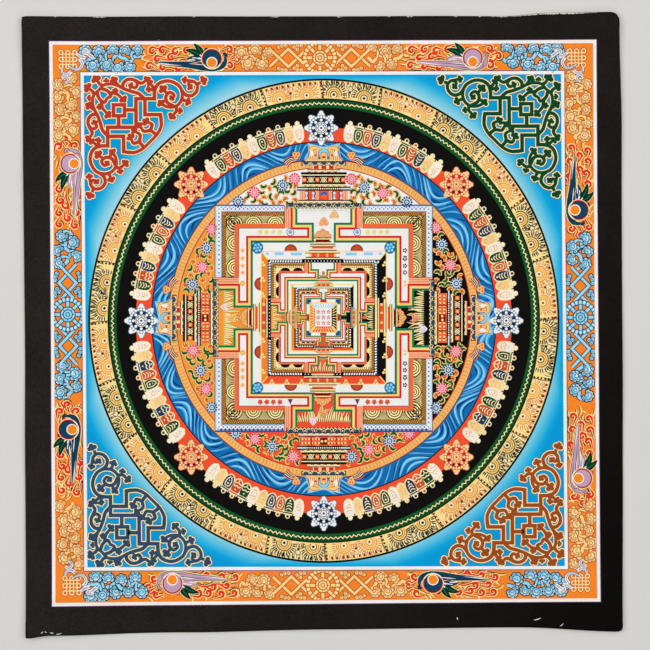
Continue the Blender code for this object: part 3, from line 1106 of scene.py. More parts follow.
# %% Rosettes on the outer friezes
row = -np.array([44.0, 50.5, 57.0, 63.5]) + 81.2j
for turn, petal, heart in zip(SIDES, ("yellow", "apricot", "vermilion", "black"),
                              ("light_blue", "orange", "green", "white")):
    for k, place in enumerate(np.concatenate([row, -row.conj()])):
        rosette = turn * (place + polar(np.arange(0, 360, 72) + 18 * (k % 2), 1.55))
        lay("walls", at, (petal, 6, dots(rosette, 1.15 if petal != "black" else 0.85, 7)),
            (heart, 7, dots([turn * place], 0.8, 7)))
lay("walls", at,
    ("saffron", 6, copies(both(dots(ORNAMENT, 2.9, 12)), 1j),
     copies(both(dots([-35 + 81.2j, -31.5 + 81.2j], 1.5, 9)), -1j)),
    ("ochre", 7, copies(both(loops(ORNAMENT, 1.7, 0.5, 9)), 1j)),
    ("plum", 6, copies(both(filled([-36 + 78.4j, -31 + 78.4j, -33.5 + 83.6j])), -1)))

# %% The middle: nine rosettes on a white square
at = standing_in("inner")
grid = (np.arange(-1, 2)[:, None] * 5.2 + 5.2j * np.arange(-1, 2)).ravel()
lay("centre", at, ("white", 3, block(-8.3, 8.3, -8.3, 8.3)),
    ("red", 4, *(dots(grid + polar(k * 72 + 90, 1.35), 0.62, 6) for k in range(5)), dots(grid, 0.5, 6)))
lay("centre", at, ("water", 6, block(-16.7, -12.2, 13.9, 16.7)),
    ("navy", 7, loops([-14.4 + 15.2j], 1.2, 0.5, 8)),
    ("rust", 6, filled([0.1 + 14.0j, -3.4 + 14.0j, -2.8 + 16.9j, 0.1 + 16.9j])), onto=on_halves)
ray = np.linspace(-1, 1, 9)
rays = stroke(np.stack([8.2 * ray + 9.3j, 12 * ray + 13.2j], -1), [1.0, 0.5])
for turn, colour in zip(SIDES, ("cloud_blue", "gilt", "gilt", "gilt")):
    film("centre", colour, 6, copies(rays, turn), at=at)

# %% [markdown]
# ## Gate towers
#
# A tower stands before each gate: bars of gold, rows of pearls and red panels, each narrower than the one
# below, a roof edge with hanging half discs, and a crown. The outer palace's towers reach over the ring of
# earth into the water. Those of the two inner palaces are the same small tower in two sizes.

# %% Rows of a tower: bottom, top, half width, colour
GREAT_TOWER = (
    (105.5, 110.7, 37.5, "black"), (110.7, 113.0, 25.4, "gilt"), (113.0, 114.0, 25.4, "black"),
    (114.0, 122.9, 24.0, "vermilion"), (122.9, 126.9, 26.8, "black"), (124.2, 125.6, 26.6, "ice"),
    (126.9, 129.2, 23.3, "gilt"), (129.2, 130.4, 22.0, "black"), (130.4, 136.6, 21.5, "umber"),
    (136.6, 137.6, 22.5, "black"), (137.6, 138.6, 22.5, "cream"), (138.6, 140.8, 22.8, "black"),
    (140.8, 142.8, 16.4, "gilt"), (142.8, 143.7, 16.4, "madder"), (143.7, 147.3, 10.9, "gilt"),
    (147.3, 151.6, 22.3, "black"),
)
SMALL_TOWER = (
    (51.8, 55.2, 20.7, "black"), (52.3, 54.4, 20.7, "gilt"), (55.2, 56.3, 18.5, "cream"),
    (56.3, 57.3, 17.0, "navy"), (57.3, 60.4, 13.6, "vermilion"), (60.4, 61.1, 17.6, "madder"),
    (61.1, 62.9, 17.6, "gilt"), (62.9, 63.8, 14.0, "navy"), (63.8, 65.0, 12.8, "cream"),
    (65.0, 66.6, 10.5, "vermilion"), (66.6, 67.3, 12.8, "madder"), (67.3, 68.7, 12.8, "gilt"),
    (68.7, 69.6, 12.8, "black"), (69.6, 71.0, 7.0, "cream"), (71.0, 71.9, 8.8, "black"),
    (71.9, 73.6, 7.0, "madder"), (73.6, 74.8, 8.8, "gilt"), (74.8, 75.5, 8.8, "black"),
)


def bars(table, at, size=1.0, base=0.0):
    """The rows of a tower on all four sides."""
    for low, high, half, colour in table:
        bar = block(-half * size, half * size, base + low * size, base + high * size)
        film("towers", colour, 8 if colour == "ice" else 7, on_sides(bar), at=at)


def scallops(low, high, half, at):
    """A roof edge: slate half discs that hang from a black line, above a lattice of cream zigzags."""
    s = along(-half, half, 8.9)
    half_disc = s[:, None] + 1j * (high - 0.7) + 3.1 * arc(1.0, 180, 360, 20)
    count = int(2 * half / 1.9)
    teeth = np.linspace(-half + 0.8, half - 0.8, count) + 1j * (low + 1.0 + 0.8 * (-1.0) ** np.arange(count))
    pearls = s[:-1] + (s[1] - s[0]) / 2 + 1j * (high - 2.2)
    lay("towers", at, ("cream", 8, stroke(half_disc, 0.8)), ("slate", 9, filled(half_disc)),
        ("cream", 8, stroke(teeth, 0.7), dots(pearls, 0.8, 6)), onto=on_sides)


# %% The four great towers: their wavy lines, pearls and posts
at = standing_in("outer")
bars(GREAT_TOWER, at)
scallops(105.5, 110.7, 37.5, at)
scallops(147.3, 151.6, 22.3, at)
for level, half in ((111.9, 24.8), (128.1, 22.8), (141.8, 15.9)):
    s = np.linspace(-half, half, int(half * 1.1))
    lay("towers", at, ("madder", 8, stroke(s + 1j * (level - 0.3 - 0.6 * np.sin(2.2 * s)), 0.6)),
        ("white", 9, stroke(s + 1j * (level + 0.2 + 0.5 * np.sin(2.2 * s)), 0.7)), onto=on_sides)
lay("towers", at, ("black", 9, block(-17, 17, 123.9, 125.9)),
    ("white", 10, dots(along(-17, 17, 2.15) + 124.9j, 0.75, 7)), onto=on_sides)
for s, half in ((21.5, 2.4), (6.8, 1.7)):
    lay("towers", at, ("shell", 8, block(-s - half, -s + half, 114.0, 122.9)),
        ("ember", 9, block(-s - 0.3, -s + 0.3, 114.0, 122.9)), onto=on_halves)

# %% Their panels: pearls and a jewel on the top one, beads on the others
for s in (17.2, 10.4):
    for level, radius in ((115.7, 1.4), (118.0, 0.9), (120.5, 1.5)):
        lay("towers", at, ("black", 8, dots([-s + 0.6 + 1j * level], radius + 0.5, 8)),
            ("ice", 9, dots([-s + 1j * level], radius, 8)), onto=both)
lay("towers", at, ("water", 9, filled([4.0 * arc(1, 180, 0, 20) + 118.2j])),
    ("orange", 10, dots(117.4j, 2.2, 10)))
beads = (along(-23, 23, 3.3)[:, None] + np.array([116.4j, 120.3j])).ravel()
lay("towers", at, ("coral", 9, block(-24.0, 24.0, 114.6, 122.3)), ("gilt", 10, dots(beads, 1.05, 7)),
    ("red", 11, dots(beads + 1.65 + 0.2j, 0.8, 6)), ("madder", 12, block(-3.6, 3.6, 115.2, 121.8)),
    ("gilt", 13, dots([-1.8 + 118.4j, 1.9 + 118.6j], 1.3, 9)),
    ("black", 12, both(block(-12.6, -11.8, 114.6, 122.3))), onto=lambda shape: copies(shape, SIDES[1:]))

# %% Their lattice: crossed lines between orange blocks
for s in (6.45, 19.4):
    lay("towers", at, ("coral", 10, block(-s - 2.0, -s + 2.0, 131.2, 135.8)),
        ("tan", 11, block(-s - 1.3, -s + 1.3, 132.4, 134.6)), onto=on_halves)
for s in (0.0, 12.9):
    slant = -s + np.array([-3.4, -1.7, 0.0])
    one = np.stack([slant + 131j, slant + 3.4 + 136j], -1)
    crossed = np.concatenate([one, -2 * s - one.conj()])
    film("towers", "cream", 8, on_halves(stroke(crossed, 0.62)), at=at)
lay("towers", at, ("black", 9, dots([-9.6 + 133.5j, -16.2 + 133.5j, -3.3 + 133.5j], 0.8, 6)),
    ("red", 8, block(-9.9, -5.2, 143.9, 147.1)), onto=on_halves)
film("towers", "red", 8, on_sides(block(-2.4, 2.4, 143.9, 147.1)), at=at)

# %% Their crowns
crown = [-18.5 + 151.6j, -15.6 + 156j, -14.2 + 162j, -14.8 + 167.4j, 0 + 164j, 0 + 151.6j]
rim_line = np.append(crown[:5], -np.conj(crown[3::-1]))
s = np.arange(1.6, 14, 1.75)
streak = np.stack([-s * 1.15 + 152.6j, -s + 161.0j + 0.12j * s], -1)
horn = curl([-3.4 + 163.2j], 150, 12.5, 75, steps=8)
crescent = 157.4j + arc(4.6, 200, -20, 20)
bow = 2.8 * swell(len(crescent) - 1, 0.5)
lay("towers", at, ("apricot", 9, filled(crown)), ("madder", 8, stroke(crown[:4], 1.0)),
    ("ember", 10, stroke(streak, 0.7)),
    ("white", 11, filled([-13.0 + 155j, -9.8 + 158j, -11.5 + 162.5j, -13.6 + 162j])),
    ("rust", 11, stroke(horn, 4.4 * swell(8, 0.7, 0.25))),
    ("saffron", 12, stroke(horn, 3.2 * swell(8, 0.7, 0.2))), onto=on_halves)
lay("towers", at, ("light_blue", 8, stroke(rim_line, 2.6)), ("navy", 12, stroke(crescent, 0.8 + bow)),
    ("light_blue", 13, stroke(crescent, bow),
     filled([-1.6 + 161.6j, 1.6 + 161.6j, 0.2 + 166.2j, -0.2 + 166.2j])),
    ("green", 13, both(dots([-4.4 + 154.6j], 1.3, 8))),
    ("red", 13, dots(155.4j, 1.5, 8), both(dots([-8.2 + 157.2j], 1.0, 7))),
    ("saffron", 14, dots(158.2j, 1.9, 9), both(dots([-8.0 + 155j], 0.9, 7))), onto=on_sides)

# %% Their banners: a tan head and a tail of curved stripes
STRIPES = ("coral", "black", "white", "madder", "cream", "black", "cream", "red")
UPPER_HEM = np.array([-29.5 + 156.0j, -35.2 + 155.0j, -40.2 + 151.6j])
LOWER_HEM = np.array([-27.4 + 151.8j, -32.6 + 150.0j, -36.4 + 145.6j])
for number, colour in enumerate(STRIPES):
    share = number / (len(STRIPES) - 1)
    tail = smooth((1 - share) * UPPER_HEM + share * LOWER_HEM, 4)[None]
    stripe = stroke(tail, np.linspace(0.75, 1.15, tail.size))
    film("towers", colour, 12 + number % 2, on_halves(stripe), at=at)
head = np.array([-27.6 + 155.4j, -26.0 + 158.0j, -29.0 + 158.2j])
lay("towers", at, ("rust", 14, dots(head, 2.9, 12)), ("tan", 15, dots(head, 2.4, 12)),
    ("orange", 16, dots(head + 0.3j, 1.1, 8)), onto=on_halves)

# %% The small towers
for name, size, base in (("middle", 1.0, 0.0), ("inner", 0.52, -0.4)):
    at = standing_in(name)
    bars(SMALL_TOWER, at, size, base)
    pearls = size * along(-19, 19, 3.1) + 1j * (base + 53.3 * size)
    film("towers", "white", 9, on_sides(dots(pearls, 0.45 * size + 0.1, 6)), at=at)
    for s, half in ((12.4, 1.2), (4.6, 0.9)):
        post = block(-(s + half) * size, -(s - half) * size, base + 57.3 * size, base + 60.4 * size)
        film("towers", "saffron", 8, on_halves(post), at=at)
cloud = np.array([-6.6 + 77j, -3.4 + 77.6j, 77.9j, -4.4 + 79.4j, -1.5 + 80.6j, 81.8j])
lay("towers", standing_in("middle"), ("rust", 8, dots(cloud, 2.1, 10)), ("tan", 9, dots(cloud, 1.7, 10)),
    ("ember", 10, loops(cloud, 0.8, 0.4, 8)), onto=on_halves)
film("towers", "coral", 8, on_sides(dots([40.6j, 41.8j], [1.6, 1.1], 8)), at=at)

# %% [markdown]
# ## Porches
#
# The porch floors take the colour of their side. On three of them golden grass stands along the outer edge,
# and small clouds float before the neck.

# %% Grass and clouds in the porches
def grass(name, reach, count):
    """Golden blades on the left, bottom and right porch floors, longest in the middle."""
    size, at = sizes[name], standing_in(name)
    half, edge = size["porch"] - 0.4, 0.98 * size["rope"]
    s = np.tile(np.linspace(-half, half, count), 3)
    turns = np.repeat(SIDES[1:], count)
    length = reach * (0.35 + 0.65 * np.cos(np.pi / 2 * s / half)) * about(1, 0.12, len(s))
    blade = curl((s + 1j * edge) * turns, np.degrees(np.angle(-1j * turns)) + 18 * s / half, length,
                 about(0, 38, len(s)), steps=5)
    wide = reach * swell(5, 0.2)
    lay("porches", at, ("umber", 3, stroke(blade + 0.4, 0.5 + 0.075 * wide)),
        ("flaxen", 4, stroke(blade, 0.3 + 0.07 * wide)))


def clouds(places, radius, colour, line, at):
    """Small clouds: discs in a row with a curl in each, and an outline that is the same discs but larger."""
    hook = curl(places - 0.5 * radius, 60, 2.4 * radius, -300, steps=7)
    lay("porches", at, (line, 5, dots(places, radius * 1.22, 12)), (colour, 6, dots(places, radius, 12)),
        (line, 7, stroke(hook, 0.24 * radius)))


grass("outer", 16.0, 27)
grass("middle", 9.6, 13)
at = standing_in("outer")
small = np.array([-3.6 + 0j, 3.4 + 0.3j, 0.2 + 1.2j, -1.6 + 3.8j, 1.9 + 3.6j, 0.3 + 5.8j])
for group, radius, *pairs in (
    (0.75 * small + 89.5j, 1.9, ("tan", "coral"), ("saffron", "ember"), ("tan", "rust"), ("shell", "rust")),
    (0.8 * small + 10.5 + 97j, 1.7, ("apricot", "ochre"), ("white", "ember"), ("white", "pink"),
     ("white", "lilac")),
):
    for turn, (colour, line) in zip(SIDES, pairs):
        clouds(group * turn, radius, colour, line, at)
specks = along(-24, 24, 2.6) + 103.6j
lay("porches", at, ("light_blue", 4, dots(specks, 0.6, 6), dots(specks + 1.3 - 2.0j, 0.45, 6)),
    ("yellow", 4, dots(specks + 1.3 + 0.6j, 0.6, 6)))

# %% [markdown]
# ## Flowers round the palace
#
# Between the palace and the ring of earth the floor is covered with flowers: pink and blue ones in turn, and
# round them small curled leaves in green and orange, all outlined in cream. The leaves are placed by chance,
# but none nearer to the next than a leaf's width: a place is tried, and kept if it is far enough from those
# already kept.

# %% Where the flowers and the leaves stand
SEGMENT_LOW, SEGMENT_HIGH = 109.6, 146.4            # from the palace's rope to the ring of earth
TOWER_HALF = ((105, 25.5), (114, 24.5), (123, 27.5), (130, 24.0), (137, 22.5), (150, 22.5))
FLOWER_ROWS = (                         # for both halves of each side: the kind by the tower, and the places
    ((0, (-29.2 + 136.5j, -41.2 + 130.1j, -69.4 + 123.0j, -85.6 + 114.1j)),
     (0, (27.6 + 136.0j, 40.4 + 128.1j, 59.1 + 122.5j, 83.0 + 113.6j))),
    ((0, (-30.6 + 130.8j, -50.1 + 123.3j, -68.1 + 117.8j, -86.1 + 111.8j)),
     (1, (33.4 + 131.3j, 50.6 + 121.6j, 69.1 + 117.1j, 87.4 + 111.8j))),
    ((1, (-27.8 + 133.9j, -45.0 + 127.2j, -65.8 + 118.7j, -85.3 + 111.5j)),
     (0, (30.4 + 133.7j, 51.6 + 123.9j, 69.0 + 116.6j, 88.3 + 111.2j))),
    ((1, (-34.5 + 132.4j, -52.5 + 126.4j, -72.5 + 117.9j, -89.0 + 111.9j)),
     (0, (31.6 + 132.1j, 49.6 + 124.6j, 67.6 + 118.1j, 86.6 + 112.1j))),
)
LEAF_GAP = 5.3


def standing_free(places, taken, gaps):
    """Whether each place is inside the segment, clear of the tower and clear of the flowers."""
    low, half = np.array(TOWER_HALF).T
    clear = np.interp(places.imag, low, half) + 2.0 < -places.real
    inside = (places.imag > SEGMENT_LOW + 2.6) & (abs(places) < SEGMENT_HIGH - 3.4)
    return clear & inside & (abs(places[:, None] - taken[None]) > gaps).all(1)


def leaves_between(flowers):
    """Places for leaves on a left half, each tried in turn."""
    tries = -100 * hand.random(9000) + 1j * (SEGMENT_LOW + 35 * hand.random(9000))
    tries = tries[standing_free(tries, flowers, 7.0)]
    kept = tries[:1]
    for place in tries[1:]:
        if (abs(kept - place) > LEAF_GAP).all():
            kept = np.append(kept, place)
    return kept


# %% Flowers and leaves
def flowers(places, kind, turn):
    """Flowers of the two kinds in turn: a pale disc, a ring of short rays, an inner ring and a heart."""
    rays = np.exp(2j * np.pi * np.arange(12) / 12)
    for number, place in enumerate(places * turn):
        blue = (number + kind) % 2
        pale, dark, inner = ("ice", "navy", "navy") if blue else ("blush", "crimson", "pink")
        lay("flowers", on_inner_rings, (pale, 6, dots(place, 5.7, 20)),
            (dark, 7, stroke(place + np.stack([3.7 * rays, 5.6 * rays], -1), [1.2, 1.9])),
            (inner, 7, loops(place, 2.3, 1.0, 10), dots(place, 0.6, 6)))


def curled_leaves(places, turn):
    """Small leaves, each a stroke bent into a hook with a gilt outline: plump green ones and thin orange
    ones that curl further round a bud."""
    count = len(places)
    heading, side = hand.uniform(0, 360, count), np.where(hand.random(count) < 0.5, -1, 1)
    green = (np.floor(places.real / 6.2) + np.floor(places.imag / 6.2)) % 2 == 0
    path = curl(np.zeros(count), heading, about(8.9, 1.0, count), np.where(green, 190, 260) * side, 0.9, 8)
    path = (path - path.mean(1, keepdims=True) + places[:, None]) * turn
    plump, thin = 2.7 * swell(8, 0.4, 0.3), 1.9 * swell(8, 0.35, 0.4)
    for width, chosen, colour in ((plump, green, "moss"), (thin, ~green, "leaf_orange")):
        leaf = path[chosen]
        lay("flowers", on_inner_rings, ("ochre", 2, stroke(leaf, width + 2.0)),
            ("gilt", 3, stroke(leaf, width + 1.3)), (colour, 4, stroke(leaf, width)))
    film("flowers", "rust", 4, dots(places[~green] * turn, 0.9, 7), at=on_inner_rings)


for turn, halves in zip(SIDES, FLOWER_ROWS):
    for side, (kind, places) in zip((1, -1), halves):
        leaves = leaves_between(flipped(np.array(places), side))
        flowers(np.array(places), kind, turn)
        curled_leaves(flipped(leaves, side), turn)

# %% [markdown]
# ## The border
#
# The four strips of the border are alike: a wheel in the middle with an interlaced band on either side, two
# flaming jewels, clouds at the ends and an endless knot in each corner. A strip is drawn lying flat, with its
# own two coordinates: how far along, and how far out from its middle line. `strip` turns it to its side.

# %% Strips of the border
STRIPS = (          # turn, distance of the middle line, wheel's place, colour, clouds, the two jewels' places
    (1, 262.9, -2.3, "straw", "cloud_blue", -110.3 - 0.8j, 150.5 - 0.8j),
    (1j, 256.2, 7.0, "cloud_blue", "straw", -108.0 + 0.3j, 157.7 - 3.7j),
    (-1, 264.4, 3.3, "straw", "cloud_blue", -106.8 - 1.3j, 153.7 - 2.5j),
    (-1j, 256.2, -2.7, "cloud_blue", "straw", -110.0 - 1.0j, 158.2 + 0.5j),
)
LINES = {"straw": "henna", "cloud_blue": "midnight"}    # the line that goes with each colour
PALE = {"straw": "cream", "cloud_blue": "white"}        # the light on it
EDGE = {"straw": 0.65, "cloud_blue": 0.8}               # and the width of its dark edge
STRIP_HALF = 14.0                       # half the width between a strip's white lines


def strip(turn, distance):
    """The function that puts a strip's drawing on the canvas."""
    return lambda points: on_frame(turn * (points + 1j * distance))


def outlined(colour, line, coat, path, width, edge, at):
    """A line of paint with an edge of another colour on both sides."""
    wider = np.asarray(width) + 2 * edge
    lay("border", at, (line, coat, stroke(path, wider)), (colour, coat + 1, stroke(path, width)))


def squeezed(shape):
    """A shape of a strip, with what would reach over the white lines pushed back to them."""
    points, triangles = shape
    return points.real + 1j * np.clip(points.imag, -STRIP_HALF, STRIP_HALF), triangles


def lobes(places, radius, colour, coat, at):
    """Round lobes of cloud: one dark edge about them all, and on each a thin ring and a curl."""
    places, line = np.ravel(places), LINES[colour]
    hook = curl(places + 0.45 * radius * np.exp(2.2j), 20, 2.1 * radius, -270, steps=6)
    lay("border", at, (line, coat, squeezed(dots(places, radius + EDGE[colour], 12))),
        (colour, coat + 1, squeezed(dots(places, radius, 12))),
        (line, coat + 2, stroke(hook, 0.45), squeezed(loops(places, radius, 0.34, 12))))


def dharma_wheel(place, colour, at):
    """A wheel with eight spokes in a ring of petals, which dark lines part. The strip is too narrow for the
    petals at its sides."""
    line = LINES[colour]
    way, eight = polar(15 * np.arange(24)), polar(np.arange(0, 360, 45))
    gaps = place + np.stack([12.6 * way, 17.3 * way], -1) * np.exp(0.1309j)
    lay("border", at, (line, 12, dots(place + 15.0 * way, 2.8, 9)),
        (colour, 13, dots(place + 15.0 * way, 2.1, 9), dots(place, 14.8, 28)),
        (line, 14, dots(place, 13.2, 28), stroke(gaps, 0.8)),
        (PALE[colour], 15, dots(place + 15.2 * way, 0.8, 6)),
        ("marigold", 15, dots(place, 12.3, 28)), onto=squeezed)
    outlined(colour, line, 16, place + np.stack([4 * eight, 12.6 * eight], -1), 3.0, 0.8, at)
    lay("border", at, (line, 18, dots(place, 7.9, 24)), (colour, 19, dots(place, 7.0, 24)),
        (line, 20, loops(place, 4.6, 0.9), loops(place, 2.0, 0.8, 9),
         stroke(place + np.stack([4.8 * eight, 6.8 * eight], -1), 0.6)))


BANDS = (                               # from the wheel's middle; the last is the first one over the second
    [16 + 6j, 31.5 - 8.8j, 50 + 8.6j], [16 - 6j, 31.5 + 8.8j, 50 - 8.6j], [37.6 - 3j, 43.9 + 3j],
)
PUFFS = np.array([18.6 + 12.2j, 22.4 + 11.9j, 25.6 + 10.6j, 22.6 + 8.2j])


def interlaced(place, side, colour, at):
    """The two bands that cross twice beside a wheel, over and under, with a clear lozenge between them and
    small clouds beside them."""
    puffs = np.concatenate([PUFFS, PUFFS.conj(), 15.5 + PUFFS[:3], 15.5 + PUFFS[:3].conj()])
    lobes(place + flipped(puffs, side), 2.1, colour, 6, at)
    for coat, corners in zip((9, 11, 13), BANDS):
        path = route(place + flipped(np.array(corners), side), 4)
        outlined(colour, LINES[colour], coat, path, 2.6, 0.75, at)


# %% Clouds: heads of round lobes on a winding stem
HEAD_PITCH = 6.3                        # from one head to the next, which lies on the stem's other side
HEAD_HEART = 3.1                        # radius of a head's middle lobe
HEAD_REACH = 4.0                        # from there to the middles of the lobes round it


def cloudbank(low, high, colour, at, side):
    """Clouds as painters write them. A head is a large lobe with a spiral and a light in it, and smaller
    lobes with a glint each round its outer side. The heads lie to either side of a stem, whose height is the
    sum of two sine waves, and a neck bends from each to the stem. `side` mirrors them, for the far side of
    the wheel."""
    line, pale = LINES[colour], PALE[colour]
    s = along(low + 1, high - 1, HEAD_PITCH)
    count = len(s)
    up, size = (-1.0) ** np.arange(count), about(1.06, 0.2, count)
    facing = 90 * up + about(0, 55, count)
    heart = s + about(0, 1.2, count) + 1j * up * about(7.2, 2.2, count)
    phase = hand.uniform(0, 6)
    way = np.linspace(low, high, 4 * count)
    stem = (way + 1j * (3.0 * np.sin(0.30 * way + phase) + 1.3 * np.sin(0.71 * way)))[None]
    root = s + 4.5 + 3j * np.sin(0.30 * (s + 4.5) + phase)
    t = np.linspace(0, 1, 8)
    neck = heart[:, None] + (root - heart)[:, None] * (t + 0.35j * up[:, None] * np.sin(np.pi * t))
    reach = (HEAD_REACH * size)[:, None]
    crown = heart[:, None] + reach * polar(facing[:, None] + np.linspace(-120, 120, 6))
    spiral = curl(heart - 0.9 * size, facing, 11.0 * size, -400 * up, 0.8, 12)
    light = heart[:, None] + 2.3 * size[:, None] * arc(1, 60, 150, 18)
    glint = crown.ravel()[:, None] + 1.35 * arc(1, 40, 140, 30)
    every = stem, neck, crown, spiral, light, glint, heart
    stem, neck, crown, spiral, light, glint, heart = (flipped(points, side) for points in every)
    outlined(colour, line, 1, stem, 3.2, EDGE[colour], at)
    outlined(colour, line, 3, neck, np.linspace(3.4, 1.6, 8), EDGE[colour], at)
    lobes(crown, 2.2, colour, 5, at)
    lay("border", at, (pale, 8, stroke(glint, 0.55)), (line, 9, dots(heart, (HEAD_HEART + 0.5) * size, 14)),
        (colour, 10, dots(heart, HEAD_HEART * size, 14)), (line, 11, stroke(spiral, 0.5)),
        (pale, 12, stroke(light, 0.9)), onto=squeezed)


# %% Flames
def flame_shape():
    """The path of one flame: a spiral that opens in most of a turn, and then a tail."""
    turn = np.radians(np.linspace(0, 290, 12))
    spiral = (1.1 + 2.3 * turn / turn[-1]) * np.exp(1j * turn)
    ahead = 1j * np.exp(1j * (turn[-1] + 0.25)) * np.array([2.2, 4.6, 7.0, 9.6])
    return np.append(spiral, spiral[-1] + ahead + [0, 0.7, 0.6, -0.8])


def flames(places, side, at):
    """Red flames with gold and black edges, their tails all to one side."""
    path = flipped(flame_shape() * polar(-200), side)
    turned = polar(hand.uniform(-25, 25, len(places)))
    path = places[:, None] + (turned * hand.uniform(0.85, 1.15, len(places)))[:, None] * path
    width = 2.2 * np.interp(np.arange(16), [0, 6, 11, 15], [0.7, 1.25, 0.95, 0.15])
    lay("border", at, ("black", 2, stroke(path + 0.7 - 0.7j, width + 2.2 * swell(15, 0.5, 0.4))),
        ("gilt", 3, stroke(path, width + 2.0 * swell(15, 0.5, 0.5))), ("scarlet", 4, stroke(path, width)))


def wisps(places, side, at):
    """Thin gold and black lines between the flames."""
    path = curl(places, 90 - 90 * side + hand.uniform(-40, 40, len(places)), about(8, 2.5, len(places)),
                hand.uniform(-130, 130, len(places)), steps=6)
    lay("border", at, ("black", 1, stroke(path - 0.8j, 1.5 * swell(6))),
        ("gilt", 2, stroke(path, 1.6 * swell(6))))


def streamers(start, end, levels, at):
    """Long wavy flames between two distances along the strip, one at each level: red, with a gold edge and
    a black line below. Each is a sine wave of two waves whose height grows towards the end."""
    t = np.linspace(0, 1, 29)
    levels = np.array(levels)[:, None]
    wave = (0.5 + t) * np.sin(4 * np.pi * t + levels)
    path = start + (end - start) * t + 1j * (levels + wave + 1.5 * t ** 2)
    path = path + about(0, 2, levels.shape)
    width = 1.7 * swell(28, 0.7, 0.1)
    lay("border", at, ("black", 2, stroke(path - 1.2j, width + 0.9 * swell(28))),
        ("gilt", 3, stroke(path, width + 1.6 * swell(28, 0.5, 0.2))), ("scarlet", 4, stroke(path, width)))


FLAMES_BEFORE = (-60 + 7.5j, -48.5 + 8j, -36 + 6.5j, -54 - 0.5j, -25 + 7.5j, -62 - 8j, -33 - 11j, -41 + 0.5j,
                 -48 - 9.5j)
FLAMES_AFTER = (17 + 8.5j, 24.5 + 1j, 18 - 8j)

# %% Jewels
RIBBON = (                              # corners of its middle line from the jewel's centre, and its widths
    (-57 - 3.2j, 0.3), (-48 - 4.2j, 2.2), (-38 - 5.0j, 3.6), (-23 - 5.8j, 5.4), (-9 - 7.4j, 7.4),
    (2 - 8.4j, 7.0), (10.5 - 6.6j, 4.6), (13.6 - 1.5j, 2.6), (12.8 + 3.6j, 0.8),
)


def jewel(place, colour, at):
    """A flaming jewel: a red ring round a crescent, and low in it a white ring with an orange heart. A long
    ribbon of the crescent's colour passes under it, and a spray of leaves and small curls lie beside it."""
    corners, widths = zip(*RIBBON)
    line = place + smooth(corners, 4)[None]
    width = np.interp(np.arange(line.size) / 4, np.arange(len(widths)), widths)
    leaf = curl(place + np.array([-8.5 + 1j, -9.5 + 1j, -10.5 - 1.5j]), [104, 132, 160], [17, 19, 15],
                [40, 46, 30], steps=8)
    wide = 5.6 * swell(8, 0.4, 0.06)
    scrolls = curl(place + np.array([11 + 4j, 7.5 - 8.5j, -4 + 9.6j]), [60, 10, 150], [7.5, 6.5, 6.0],
                   [-250, 160, 230], steps=8)
    marks = curl(place + np.array([-12.0 + 4.4j, -13.5 + 1.4j, -11 - 1.6j]), [-60, -50, -30], 4.2, 60,
                 steps=4)
    rings = ((10.7, "cream", 0), (10.1, "scarlet", 0), (9.2, "black", 0), (8.7, colour, 0),
             (5.6, "white", -3.6j), (4.6, "orange_heart", -3.7j))
    lay("border", at, ("cream", 5, stroke(line, width + np.minimum(width, 2.4))),
        ("black", 6, stroke(line, width + np.minimum(0.5 * width, 1.1))), (colour, 7, stroke(line, width)),
        ("white", 8, stroke(line[:, 1:11] - 0.3j * width[1:11], 1.1 * swell(9)),
         stroke(line[:, 12:18] + 0.2j * width[12:18], 0.9 * swell(5))),
        ("black", 8, stroke(line[:, 9:22] + 0.1j * width[9:22], 0.7 * swell(12)),
         stroke(line[:, 14:24] - 0.25j * width[14:24], 0.6 * swell(9))),
        ("gilt", 7, stroke(leaf, wide + 1.8)), ("black", 8, stroke(leaf, wide + 0.8)),
        ("forest", 9, stroke(leaf[:2], wide)), (colour, 9, stroke(leaf[2:], wide)),
        ("green", 10, stroke(leaf[:2, 1:7], 0.7)),
        ("white", 10, stroke(leaf[2:, 3:] - 1.2j, 1.3 * swell(5)), stroke(leaf[2:, 1:6] + 0.9j, 0.8)),
        ("black", 8, stroke(scrolls, 3.0 * swell(8, 0.3, 0.4))),
        (colour, 9, stroke(scrolls, 1.8 * swell(8, 0.3, 0.4))),
        ("white", 11, stroke(marks, 1.5 * swell(4, 0.5, 0.4))),
        *((tint, 12 + number, dots([place + shift], radius, 26))
          for number, (radius, tint, shift) in enumerate(rings)),
        ("cream", 14, stroke(place + arc(9.7, 215, 330, 12), 0.8)))


# %% The four strips
for turn, distance, middle, colour, clouds_in, *jewels in STRIPS:
    at = strip(turn, distance)
    dharma_wheel(middle, colour, at)
    for side in (-1, 1):
        interlaced(middle, side, colour, at)
        cloudbank(48 + middle * side, 82 + middle * side, colour, at, side)
    for side in (-1, 1):
        cloudbank(181, 240 if turn.imag == 0 else 247, clouds_in, at, side)
    for place, colour_of, reach in zip(jewels, ("teal", "mauve"), (30, 26)):
        near, far = place.real - 66, place.real + reach
        streamers(near, near + 46, (-10.6, -1.2), at)
        streamers(place.real + 14, far, (-3.4, 5.4), at)
        wisps(hand.uniform(near, far, 64) + 1j * hand.uniform(-12, 12, 64), -1, at)
        for side, group in ((-1, FLAMES_BEFORE), (1, FLAMES_AFTER)):
            spots = place.real + np.array(group) + about(0, 1, len(group)) + 1j * about(0, 0.5, len(group))
            flames(spots[spots.real < far], side, at)
        jewel(place, colour_of, at)

# %% [markdown]
# Each corner holds an endless knot of tan cord with a white scarf drawn through it.

# %% Corner knots
KNOT_PITCH = 6.9                        # between the loops along its edges


def in_corner(corner, mirror, flip):
    """The function that puts the top left corner's drawing into that corner or one of its mirror images."""
    def at(points):
        moved = corner + points
        return on_frame(flipped(moved if flip > 0 else moved.conj(), mirror))
    return at


